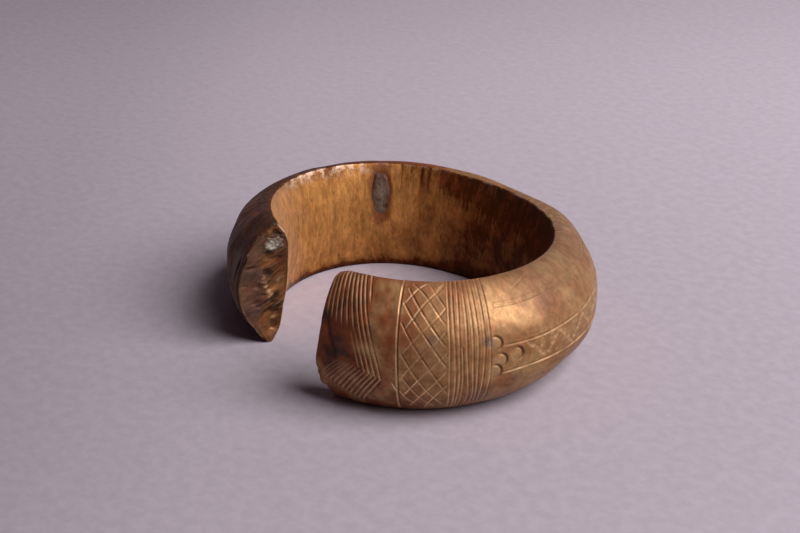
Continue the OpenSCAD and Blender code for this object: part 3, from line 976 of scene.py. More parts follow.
@dataclass
class RingCasting:
    """The cast band: a fine skin over the plan's sections, with its chased lines, wear and end faces.

    A span is the start and the end of a soft step, over distances from an end or heights in millimetres, plan
    angles in degrees, or points of the loop. A bow is a list of heights with an offset at each.
    """

    plan: BandPlan = field(default_factory=BandPlan)
    chasing: Chasing = field(default_factory=Chasing)
    tool: ToolMark = field(default_factory=ToolMark)
    ring_punch: RingPunch = field(default_factory=RingPunch)
    outer_rows: int = 192
    land_cols: int = 16
    fine_step: float = 0.16
    mid_step: float = 0.22
    broad_step: float = 0.45
    fine_to: float = 43.0
    mid_to: float = 64.0
    round_steps: int = 13
    share_steps: int = 4001
    share_turn: float = 60.0
    land_share: float = 0.14
    corner_passes: int = 5
    corner_reach: Span = (8, 3)
    rim_passes: int = 50
    rim_reach: Span = (15, 6)
    foot_passes: int = 60
    foot_reach: Span = (24, 12)
    pass_share: float = 0.5
    right_end: Layer = Layer(1.0, (("run", 7, 0), RIGHT))
    left_end: Layer = Layer(1.0, (("run", 8, 0), LEFT))
    left_rise: Layer = Layer(1.05, (("run", 8, 0), LEFT, ("height", 12, 25)))
    left_foot: Layer = Layer(1.0, (("run", 8, 0), LEFT, ("height", 8, 0)))
    foot_flare: Layer = Layer(0.85, (("height", 4, 0), ("turn", 180, 205), ("turn", 312, 294)))
    corner_drop: Layer = Layer(0.45, (("run", 3, 0), RIGHT, ("height", 14, 25)))
    outer_bow: Path = (
        (0, 0), (4, -0.3), (7.5, 0.5), (13.5, 1.2), (18, 0.8), (21, 0.8), (24, 0.6), (26, 0))
    inner_bow: Path = (
        (0, 0.9), (3, 0.3), (8, 0.8), (13.5, 0.4), (18, 0), (22, -0.6), (24, -0.5), (26, 0.4))
    drawn_back: Path = (
        (0, 0.2), (3.5, 0.9), (5, 0.4), (7, -0.2), (10, -0.2), (14, 0.5), (17, 0.8), (20, 0.6), (23, 0.2),
        (26, -0.3))
    dents: Rows = (
        (152, 0.92, 13, 0.3, 1.1), (102, -0.62, 10, 0.32, -0.7), (300, 0.42, 6, 0.28, -0.5),
        (203, 1.0, 14, 0.4, 0.6), (262, 1.0, 9, 0.4, -0.4))
    block_slack: Place = (1.0, 0.5)
    row_len: float = 8.0
    groove_clear: float = 6.0
    lump_mix: NoiseMix = ((0.13, 0, 11.0), (0.05, 17, 4.2), (0.014, 5, 1.1))
    calm_end: Span = (0, 3)
    calm_foot: Span = (0, 1.2)
    knob: Spot = ((0.8, -0.6), 1.0, 0.4)
    hollow: Spot = ((0.7, -0.42), 0.7, -0.3)
    fill_half: Place = (1.55, 5.3)
    seat_deep: float = 0.2
    seat_edge: Span = (1.12, 0.86)
    map_skin: tuple[float, float, float] = (0.01, 0.99, 0.86)
    map_end: tuple[float, float, float, float] = (0.02, 0.46, 0.885, 0.1)

    def __post_init__(self) -> None:
        """Prepares the tables that the other methods share."""
        self.arc_s, self.arc_ph = self.plan.arc()
        self.shift = self.plan.middle()
        self.inner_rows = self.outer_rows // 2
        self.noise = HandNoise(11)
        self.patina_and_light = PatinaAndPaintedLight(self)

    def turn_at(self, s: Array) -> Array:
        """Plan angle at a distance from the right end."""
        return np.interp(s, self.arc_s, self.arc_ph)

    def skin(self, side: Side, s: Array, w: Array) -> Array:
        """Points of the outer face and the rim.

        Args:
            side: The terminal that distances are counted from.
            s: Distances from its end.
            w: Height shares; those over 1 lie on the rim.

        Returns:
            The points, in millimetres.
        """
        last = len(self.station_s) - 1
        station = np.interp(s, self.station_s[: last // 2 + 1], np.arange(last // 2 + 1))
        station = station if side is Side.RIGHT else last - station
        row = np.interp(w, self.row_w, np.arange(len(self.row_w)))
        i, j = np.minimum(station.astype(int), last - 1), np.minimum(row.astype(int), len(self.row_w) - 2)
        a, b = (station - i)[..., None], (row - j)[..., None]
        low = self.grid[i, j] * (1 - a) + self.grid[i + 1, j] * a
        high = self.grid[i, j + 1] * (1 - a) + self.grid[i + 1, j + 1] * a
        return low * (1 - b) + high * b

    def spot_at(self, side: Side, spot: Place) -> Array:
        """Point of one place on the outer face."""
        return self.skin(side, np.array([spot[0]]), np.array([spot[1]]))[0]

    def way_ahead(self, side: Side, spot: Place, step: float) -> Array:
        """Direction along the outer face at a place, away from the end."""
        ahead = self.spot_at(side, (spot[0] + step, spot[1])) - self.spot_at(side, spot)
        return ahead / np.linalg.norm(ahead)

    def stations(self) -> tuple[Array, Array, Array]:
        """Sections along the band, dense where it is chased.

        Returns:
            The plan angles, the shares of the ends' rounding and the distances from the nearer end.
        """
        p = self.plan
        bend = np.radians(np.linspace(0, 90, self.round_steps))[:-1]
        rounded = p.round_len * (1 - np.cos(bend))
        body = np.concatenate([
            np.arange(p.round_len, self.fine_to, self.fine_step),
            np.arange(self.fine_to, self.mid_to, self.mid_step),
            np.arange(self.mid_to, self.arc_s[-1] - self.broad_step / 2, self.broad_step)])
        s = np.concatenate([rounded, body])
        inset = np.concatenate([1 - np.sin(bend), np.zeros(len(body))])
        half = self.turn_at(s)
        ph = np.concatenate([half, [BACK_TURN], 360 - half[::-1]])
        inset = np.concatenate([inset, [0], inset[::-1]])
        return ph, inset, np.concatenate([s, [self.arc_s[-1]], s[::-1]])

    def row_shares(self) -> Array:
        """Height shares of the outer rows, even along the section's curve.

        Returns:
            The shares, from -1 to 1.
        """
        w = np.linspace(-1, 1, self.share_steps)
        at = np.full_like(w, self.share_turn)
        line = np.stack([self.plan.outer_n(at, w), self.plan.level(at, w)], -1)
        run = np.concatenate([[0], np.cumsum(np.linalg.norm(np.diff(line, axis=0), axis=1))])
        return np.interp(np.linspace(0, run[-1], self.outer_rows + 1), run, w)

    def coordinates(self, z: Array) -> Masks:
        """Coordinates over the skin that soft steps are set against.

        Args:
            z: Heights of the loops' points.

        Returns:
            Distance from the nearer end, plan angle, halves, height, column and height share, by name.
        """
        ph, column = self.station_ph[:, None], np.arange(z.shape[1])[None, :]
        share = np.zeros(column.shape)
        share[0, : len(self.row_w)] = self.row_w
        return {
            "run": self.station_s[:, None], "turn": ph, "left": ph > BACK_TURN, "right": ph <= BACK_TURN,
            "height": z, "column": column, "share": share}

    def sections(self, ph: Array, inset: Array) -> Array:
        """Closed section loops: outer face up, rim, inner wall down, foot.

        Args:
            ph: Plan angles.
            inset: Shares of the ends' rounding.

        Returns:
            Points of stations by loop, in millimetres.
        """
        p, at = self.plan, ph[:, None]
        outer_w, inner_w = self.row_shares()[None, :], np.linspace(1, -1, self.inner_rows + 1)[None, :]
        land = np.linspace(p.edge_land, 0, self.land_cols + 1)[None, 1:-1]
        top = np.broadcast_to(p.height(at), (len(ph), land.shape[1]))
        inner = np.broadcast_to(p.inner_n(inner_w), (len(ph), inner_w.shape[1]))
        rim, foot = np.broadcast_to(land, top.shape), np.broadcast_to(land[:, ::-1], top.shape)
        n = np.concatenate([p.outer_n(at, outer_w), rim, inner, foot], 1)
        z = np.concatenate([p.level(at, outer_w), top, p.level(at, inner_w), 0 * top], 1)
        n, z = self.worn_corners(n, z)
        n, z = self.uneven_left(*p.drawn_in(at, n, z, inset[:, None]))
        n, z = self.hand_shaped(n, z)
        _, along, _ = p.axes(ph)
        back = self.right_end.over(self.coordinates(z)) * np.interp(z, *zip(*self.drawn_back))
        place = p.raw_place(at, n, z) - self.shift
        place[..., :2] += along[:, None, :] * back[..., None]
        return place

    def uneven_left(self, n: Array, z: Array) -> Pair:
        """The left end's sections, which are taller and bowed as the cast left them.

        Args:
            n: Outward offsets of the loops.
            z: Heights of the loops.

        Returns:
            The new offsets and heights.
        """
        near, outer = self.left_end.over(self.coordinates(z)), self.outer_share(n.shape[1])
        z = z + self.left_rise.over(self.coordinates(z))
        bow = outer * np.interp(z, *zip(*self.outer_bow)) + (1 - outer) * np.interp(z, *zip(*self.inner_bow))
        n = n + near * bow
        gap = np.abs(np.arange(n.shape[1]) - (n.shape[1] - self.land_cols / 2))
        share = self.pass_share * near * smooth(*self.foot_reach, np.minimum(gap, n.shape[1] - gap))[None, :]
        for _ in range(self.foot_passes):
            n, z = relaxed(n, share), relaxed(z, share)
        return n, z - self.left_foot.over(self.coordinates(z)) * z.min(1, keepdims=True)

    def outer_share(self, count: int) -> Array:
        """Share of the outer face at each point of a loop: 1 on it, 0 on the inner wall."""
        corners = np.cumsum([0, self.outer_rows, self.land_cols, self.inner_rows])
        return np.interp(np.arange(count), [*corners, count], [1, 1, 0, 0, 1])[None, :]

    def hand_shaped(self, n: Array, z: Array) -> Pair:
        """Sections with the dents of hand work, the wall's flared foot and the right end's worn corner.

        Args:
            n: Outward offsets of the loops.
            z: Heights of the loops.

        Returns:
            The new offsets and heights.
        """
        ph, outer = self.station_ph[:, None], self.outer_share(n.shape[1])
        w = 2 * z / self.plan.height(ph) - 1
        for turn, share, wide, tall, amount in self.dents:
            n = n + outer * amount * np.exp(-(((ph - turn) / wide) ** 2) - ((w - share) / tall) ** 2)
        axes = self.coordinates(z)
        return n - (1 - outer) * self.foot_flare.over(axes), z - self.corner_drop.over(axes)

    def worn_corners(self, n: Array, z: Array) -> Pair:
        """The loop's four corners worn round.

        Args:
            n: Outward offsets of the loops.
            z: Heights of the loops.

        Returns:
            The new offsets and heights.
        """
        count, rows, cols = n.shape[1], self.outer_rows, self.land_cols
        tall = z.max(1, keepdims=True)
        index = np.arange(count)
        corners = np.array([0, rows, rows + cols, rows + cols + self.inner_rows])
        gap = np.abs(index[:, None] - corners[None, :])
        near = np.minimum(gap, count - gap).min(1)
        shoulder = self.pass_share * smooth(*self.rim_reach, np.abs(index - rows))
        corner = self.pass_share * smooth(*self.corner_reach, near)
        for share in [shoulder] * self.rim_passes + [corner] * self.corner_passes:
            n, z = relaxed(n, share), relaxed(z, share)
        low, high = z.min(1, keepdims=True), z.max(1, keepdims=True)
        return n, (z - low) * tall / (high - low)

    def normals(self, grid: Array) -> Array:
        """Outward directions of the skin's points."""
        across = np.cross(np.gradient(grid, axis=0), np.roll(grid, -1, 1) - np.roll(grid, 1, 1))
        return across / np.linalg.norm(across, axis=-1, keepdims=True)

    def add(self, block: tuple[slice, slice], **layers: Array) -> None:
        """Adds layers to part of the relief, where they are larger."""
        for name, values in layers.items():
            self.marks[name][block] = np.maximum(self.marks[name][block], values)

    def cut(self, stroke: Stroke, side: Side) -> None:
        """Adds one stroke to the relief.

        Args:
            stroke: The stroke.
            side: The terminal that it is on.
        """
        tool = self.tool
        places, share = stroke.points()
        line = self.skin(side, places[:, 0], places[:, 1])
        block = self.block(places, side, stroke.width * tool.reach)
        part = self.grid[block]
        best = np.full(part.shape[:2], np.inf)
        deep, lit = np.zeros(part.shape[:2]), np.zeros(part.shape[:2])
        along, up = tool.light
        towards = along * self.way_ahead(side, tuple(places[0]), tool.ahead) + np.array([0, 0, up])
        for a, b, da, db in zip(line[:-1], line[1:], share[:-1], share[1:]):
            way = b - a
            t = np.clip(((part - a) @ way) / (way @ way), 0, 1)
            off = part - a - t[..., None] * way
            gap = np.linalg.norm(off, axis=-1)
            closer = gap < best
            best = np.where(closer, gap, best)
            deep = np.where(closer, da + (db - da) * t, deep)
            lit = np.where(closer, off @ towards, lit)
        deep = deep * np.clip(tool.depth_mean + self.noise.layers(part, tool.uneven), *tool.depth_limits)
        x = best / (stroke.width / 2)
        lean = np.clip(lit / np.maximum(best, tool.near), -1, 1)
        groove = np.clip(1 - x / (tool.groove[0] - tool.groove[1] * lean), 0, 1) * deep
        burr = np.exp(-(((x - tool.burr[0]) / tool.burr[1]) ** 2)) * deep
        # painted highlight: a bright crest on the groove wall that faces the light, brighter on the lower rows
        crest = ((x * lean + tool.crest[0]) / tool.crest[1]) ** 2
        crest = np.exp(-crest - np.maximum(x - tool.crest_to, 0) ** 2 * tool.crest_fall) * deep * stroke.bright
        crest = crest * (1 + tool.low_gain * smooth(*tool.low_rows, self.row_w[block[1]]))[None, :]
        # dirt in the groove, with painted shade on the wall that faces away from the light
        dirt_and_shade = np.clip(tool.dirt_to - x, 0, 1) * deep * min(1.0, stroke.depth / tool.full_depth)
        dirt_and_shade = dirt_and_shade * np.clip(tool.shade_lean[0] + tool.shade_lean[1] * lean, 0, 1)
        self.add(block, depth=groove * stroke.depth, burr=burr * stroke.burr, line=dirt_and_shade, crest=crest)

    def block(self, places: Array, side: Side, reach: float) -> tuple[slice, slice]:
        """Part of the skin that a stroke can touch.

        Args:
            places: Places of the stroke.
            side: The terminal that it is on.
            reach: Distance to which it is felt.

        Returns:
            The ranges of stations and of rows.
        """
        slack, row_slack = self.block_slack
        low, high = places[:, 0].min() - reach - slack, places[:, 0].max() + reach + slack
        count = len(self.station_s)
        first, last = np.searchsorted(self.station_s[: count // 2 + 1], (low, high))
        stations = slice(first, last) if side is Side.RIGHT else slice(count - last, count - first)
        margin = (reach + row_slack) / self.row_len
        within = (self.row_w > places[:, 1].min() - margin) & (self.row_w < places[:, 1].max() + margin)
        rows = np.nonzero(within)[0]
        return stations, slice(int(rows[0]), int(rows[-1]) + 1)

    def punch(self, spot: Place, side: Side) -> None:
        """Presses one ring punch.

        Args:
            spot: Place of its middle.
            side: The terminal that it is on.
        """
        tool, r = self.ring_punch, self.ring_punch.radius
        block = self.block(np.array([spot]), side, tool.reach * r)
        away = self.grid[block] - self.spot_at(side, spot)
        gap = np.linalg.norm(away, axis=-1)
        lean = away @ self.way_ahead(side, spot, tool.ahead) + tool.rise * away[..., 2]
        lean = lean / np.maximum(gap, tool.near)
        press = np.clip(tool.press[0] + tool.press[1] * lean, *tool.press_limits)
        x = np.abs(gap - r) / tool.wall
        inside = smooth(r, r * tool.flat, gap)
        # painted highlight: a bright ring on the shallow side of the punch
        ring = np.clip(-lean, 0, 1) * np.exp(-(((gap / r - tool.shine_at[0]) / tool.shine_at[1]) ** 2))
        self.add(
            block, depth=np.clip(1 - x, 0, 1) * press * tool.depth,
            line=np.clip(tool.dirt_to - x, 0, 1) * press, burr=tool.dome * inside,
            crest=np.maximum(tool.shine[0] * inside, tool.shine[1] * ring))

    def speck(self, spot: tuple[float, ...], side: Side) -> None:
        """Presses one small dot of the zigzag.

        Args:
            spot: Place, size and brightness of the dot.
            side: The terminal that it is on.
        """
        *place, size, bright = spot
        block = self.block(np.array([place]), side, 0.9)
        x = np.linalg.norm(self.grid[block] - self.spot_at(side, place), axis=-1) / size
        depth = 0.4 * size * np.clip(1 - x, 0, 1)
        self.add(block, depth=depth, crest=bright * np.exp(-((x / 0.9) ** 2)))

    def relief(self) -> Masks:
        """All that is cut into or worn off the skin.

        Returns:
            Depth, raised burr, and masks of dirt with painted shade and of worn crests with painted highlights,
            for each point.
        """
        names = ("depth", "burr", Mark.LINE.value, Mark.CREST.value)
        self.marks = {name: np.zeros(self.grid.shape[:2]) for name in names}
        chased = self.chasing
        tools = ((self.cut, chased.strokes()), (self.punch, chased.punches), (self.speck, chased.dots()))
        for side in Side:
            for press, spots in tools:
                for spot in spots:
                    press(spot, side)
        self.marks["burr"] *= 1 - np.clip(self.marks["depth"] * self.groove_clear, 0, 1)
        return self.marks

    def lay(self) -> Array:
        """Unrolled coordinates of the skin in millimetres: distance along the band, height and side.

        Returns:
            The coordinates, on the last axis.
        """
        half = len(self.station_s) // 2
        run = np.concatenate([self.station_s[: half + 1], 2 * self.arc_s[-1] - self.station_s[half + 1:]])
        inner = np.arange(self.grid.shape[1]) > self.outer_rows + self.land_cols // 2
        out = np.zeros(self.grid.shape)
        out[..., 0] = run[:, None]
        out[..., 1] = self.grid[..., 2]
        out[..., 2] = np.where(inner, 60.0, 0.0)[None, :]
        return out

    def fill_share(self) -> Pair:
        """Where points lie around the fill of the inner wall.

        Returns:
            A share that is 1 on the fill's outline, and the way from its middle.
        """
        low, high = (np.array(v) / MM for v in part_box("wall_plug"))
        away = self.grid - (low + high) / 2
        flat = np.maximum(np.linalg.norm(away[..., :2], axis=-1) - 1.0, 0)
        return np.sqrt((flat / self.fill_half[0]) ** 2 + (away[..., 2] / self.fill_half[1]) ** 2), away

    def seats(self) -> Array:
        """Depth of the shallow seat of the fill in the inner wall."""
        wall = np.arange(self.grid.shape[1]) > self.outer_rows + self.land_cols
        return self.seat_deep * smooth(*self.seat_edge, self.fill_share()[0]) * wall[None, :]

    def build(self) -> Piece:
        """Makes the casting's mesh with its masks.

        Returns:
            The object, which replaces the solid of the casting.
        """
        self.station_ph, inset, self.station_s = self.stations()
        land = 1 + self.land_share * np.arange(1, self.land_cols) / self.land_cols
        self.row_w = np.append(self.row_shares(), land)
        self.grid = grid = self.sections(self.station_ph, inset)
        relief = self.relief()
        calm = smooth(*self.calm_end, self.station_s)[:, None] * smooth(*self.calm_foot, grid[..., 2])
        lumps = calm * self.noise.layers(grid, self.lump_mix)
        height = relief["burr"] - relief["depth"] - self.seats() + lumps
        for spot, size, amount in (self.knob, self.hollow):
            height = height + amount * self.patina_and_light.blob(spot, size)
        skin = grid + self.normals(grid) * height[..., None]
        masks = self.patina_and_light.masks()
        for mark in (Mark.LINE.value, Mark.CREST.value):
            masks[mark] = np.maximum(relief[mark], masks.get(mark, 0))
        return self.mesh(skin, masks, self.lay())

    @staticmethod
    def corners(grid: Array, axis: int) -> Array:
        """The four corners of each cell of a grid, on a new axis."""
        return np.stack([grid[:-1, :-1], grid[1:, :-1], grid[1:, 1:], grid[:-1, 1:]], axis)

    def mesh(self, skin: Array, masks: Masks, lay: Array) -> Piece:
        """Joins the skin and the two end faces in one closed mesh.

        Args:
            skin: Points of stations by loop.
            masks: Masks of these points.
            lay: Unrolled coordinates of these points.

        Returns:
            The object.
        """
        count, per = skin.shape[:2]
        rows, cols, low = self.outer_rows, self.land_cols, self.inner_rows
        index = np.arange(count * per).reshape(count, per)
        quads = self.corners(np.concatenate([index, index[:, :1]], 1), -1).reshape(-1, 4)
        column = np.tile(np.arange(per), count - 1)
        wall = (column >= rows + cols - 1) & (column < rows + cols + low + 1)
        least, far, high = self.map_skin
        across, around = np.linspace(least, far, count), np.linspace(least, high, per + 1)
        flat = np.stack(np.meshgrid(across, around, indexing="ij"), -1)
        points, lays, faces = [skin.reshape(-1, 3)], [lay.reshape(-1, 3)], [quads]
        uvs, zone = [self.corners(flat, -2).reshape(-1, 4, 2)], [np.where(wall, 1, 0)]
        spread_masks = {name: [values.ravel()] for name, values in masks.items()}
        start = count * per
        for at, end in ((0, EndFace(self, Side.RIGHT, 3)), (count - 1, EndFace(self, Side.LEFT, 8))):
            loop = skin[at]
            out = end.side.value * np.cross(loop[rows // 2] - loop[rows + cols + low // 2], [0, 0, 1])
            face, marks, slant = end.build(loop, out / np.linalg.norm(out))
            ids = np.full((rows + 1, cols + 1), -1)
            ids[:, 0] = index[at, : rows + 1]
            ids[-1, :] = index[at, rows: rows + cols + 1]
            ids[0, :] = np.concatenate([index[at, :1], index[at, rows + cols + low:][::-1]])
            ids[::2, -1] = index[at, rows + cols: rows + cols + low + 1][::-1]
            new = ids < 0
            ids[new] = start + np.arange(new.sum())
            start += int(new.sum())
            points.append(face[new])
            lays.append(slant[new])
            cell, spread = self.corners(ids, -1), self.corners(self.end_map(end.side), -2)
            if end.side is Side.RIGHT:
                cell, spread = cell[..., ::-1], spread[..., ::-1, :]
            faces.append(cell.reshape(-1, 4))
            uvs.append(spread.reshape(-1, 4, 2))
            zone.append(np.full(rows * cols, 2))
            for name, values in marks.items():
                spread_masks[name].append(values[new])
        spread_masks = {name: np.concatenate(values) for name, values in spread_masks.items()}
        parts = (np.concatenate(values) for values in (points, faces, uvs, zone))
        return self.as_object(*parts, spread_masks, np.concatenate(lays))

    def end_map(self, side: Side) -> Array:
        """Map places of one end face, in its own field beside the skin's.

        Args:
            side: The terminal.

        Returns:
            The places, of rows by columns.
        """
        u, v = (np.linspace(0, 1, n + 1) for n in (self.outer_rows, self.land_cols))
        from_u, wide, from_v, tall = self.map_end
        aside = 0.5 if side is Side.LEFT else 0
        return np.stack(np.meshgrid(from_u + wide * u + aside, from_v + tall * v, indexing="ij"), -1)

    def as_object(self, points: Array, faces: Array, uvs: Array, zone: Array,
                  masks: Masks, lay: Array) -> Piece:
        """Puts the arrays in a Blender object.

        Args:
            points: All points, in millimetres.
            faces: Quads by point.
            uvs: Map places of the quads' corners.
            zone: Finish of each quad: face, wall or end.
            masks: Masks of the skin's points.
            lay: Unrolled coordinates of all points.

        Returns:
            The object.
        """
        mesh = bpy.data.meshes.new("chased_band")
        mesh.vertices.add(len(points))
        mesh.vertices.foreach_set("co", (points * MM).astype(np.float32).ravel())
        mesh.loops.add(faces.size)
        mesh.loops.foreach_set("vertex_index", faces.astype(np.int32).ravel())
        mesh.polygons.add(len(faces))
        mesh.polygons.foreach_set("loop_start", np.arange(0, faces.size, 4, dtype=np.int32))
        mesh.polygons.foreach_set("material_index", zone.astype(np.int32))
        mesh.update(calc_edges=True)
        mesh.shade_smooth()
        layer = mesh.uv_layers.new(name=BAKE_MAP)
        layer.uv.foreach_set("vector", uvs.astype(np.float32).ravel())
        for name, values in masks.items():
            flat = np.zeros(len(points), np.float32)
            flat[: values.size] = values.ravel()
            mesh.attributes.new(name, "FLOAT", "POINT").data.foreach_set("value", flat)
        lays = mesh.attributes.new(Mark.LAY.value, "FLOAT_VECTOR", "POINT")
        lays.data.foreach_set("vector", lay.astype(np.float32).ravel())
        mesh.validate()
        piece = bpy.data.objects.new("chased_band", mesh)
        bpy.context.scene.collection.objects.link(piece)
        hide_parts("ring_casting")
        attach(piece, "root")
        return piece

    def dress(self, piece: Piece, finishes: Sequence[Material]) -> None:
        """Gives the face, the wall and the ends their finishes."""
        for material in finishes:
            piece.data.materials.append(material)


@dataclass
class MetalFill:
    """An oval fill of other metal in a pocket of the casting."""

    name: str
    node: str
    slot: str
    long: float
    wide: float
    deep: float
    crown: float
    rough: float
    seed: int
    out: Colour
    ragged: float = 0.09
    rings: int = 26
    around: int = 96
    outline_mix: NoiseMix = ((1.0, 1.5, 0.5), (0.55, 1.75, 0.25))
    lump_mix: NoiseMix = ((1.0, 20, 1.1), (0.6, 50, 0.5))
    lump_edge: Span = (1.0, 0.8)
    lip_edge: Span = (0.82, 1.0)
    lip_drop: float = 0.12
    side_drop: float = 0.2
    back_share: float = 0.96

    def frame(self) -> tuple[Array, Array, Array, Array]:
        """Seat of the fill from its solid's box.

        Returns:
            The middle, and the directions across, up and out.
        """
        low, high = (np.array(v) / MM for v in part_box(self.node))
        out = np.array(self.out) / np.linalg.norm(self.out)
        across = np.cross([0.0, 0.0, 1.0], out)
        across /= np.linalg.norm(across)
        return (low + high) / 2, across, np.cross(out, across), out

    def build(self) -> Piece:
        """Makes the fill with an uneven outline and a rough face.

        Returns:
            The object, which replaces the solid of the fill.
        """
        centre, across, up, out = self.frame()
        noise = HandNoise(self.seed)
        turn = np.linspace(0, 2 * np.pi, self.around, endpoint=False)
        ring = np.stack([np.cos(turn), np.sin(turn), 0 * turn], -1)
        bulge = 1 + self.ragged * noise.layers(ring, self.outline_mix)
        share = np.concatenate([np.linspace(0, 1, self.rings + 1)[1:], [1.0, self.back_share]])
        flat = share[:, None] * bulge[None, :]
        x, y = flat * np.cos(turn) * self.wide / 2, flat * np.sin(turn) * self.long / 2
        top = self.deep / 2 - self.crown * (y / (self.long / 2)) ** 2
        lumps = self.rough * noise.layers(np.stack([x, y, 0 * x], -1), self.lump_mix)
        lip = self.lip_drop * smooth(*self.lip_edge, share)[:, None]
        z = top + lumps * smooth(*self.lump_edge, share)[:, None] - lip
        z[-2:] = -self.deep / 2
        z[-3] = top[-3] - self.side_drop
        rings = np.stack([x, y, z], -1).reshape(-1, 3)
        local = np.concatenate([[[0, 0, float(z[0].mean())]], rings, [[0, 0, -self.deep / 2]]])
        points = centre + local[:, :1] * across + local[:, 1:2] * up + local[:, 2:] * out
        return self.as_object(points, len(share))

    def as_object(self, points: Array, rings: int) -> Piece:
        """Puts the fill's rings in a Blender object.

        Args:
            points: The middle of the face, its rings and the middle of the back.
            rings: Number of rings.

        Returns:
            The object.
        """
        n = self.around
        ring = [[1 + r * n + k for k in range(n)] for r in range(rings)]
        faces = [(0, ring[0][k], ring[0][(k + 1) % n]) for k in range(n)]
        for low, high in zip(ring[:-1], ring[1:]):
            faces += [(low[k], high[k], high[(k + 1) % n], low[(k + 1) % n]) for k in range(n)]
        faces += [(len(points) - 1, ring[-1][(k + 1) % n], ring[-1][k]) for k in range(n)]
        mesh = bpy.data.meshes.new(self.name)
        mesh.from_pydata((points * MM).tolist(), [], faces)
        mesh.validate()
        mesh.shade_smooth()
        steps = np.minimum(np.repeat(np.arange(1, rings + 1) / self.rings, n), 1)
        values = np.concatenate([[0], steps, [1]]).astype(np.float32)
        mesh.attributes.new(Mark.EDGE.value, "FLOAT", "POINT").data.foreach_set("value", values)
        piece = bpy.data.objects.new(self.name, mesh)
        bpy.context.scene.collection.objects.link(piece)
        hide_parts(self.node)
        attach(piece, "root")
        return piece

    def dress(self, piece: Piece, finish: Material) -> None:
        """Gives the fill its finish."""
        piece.data.materials.append(finish)


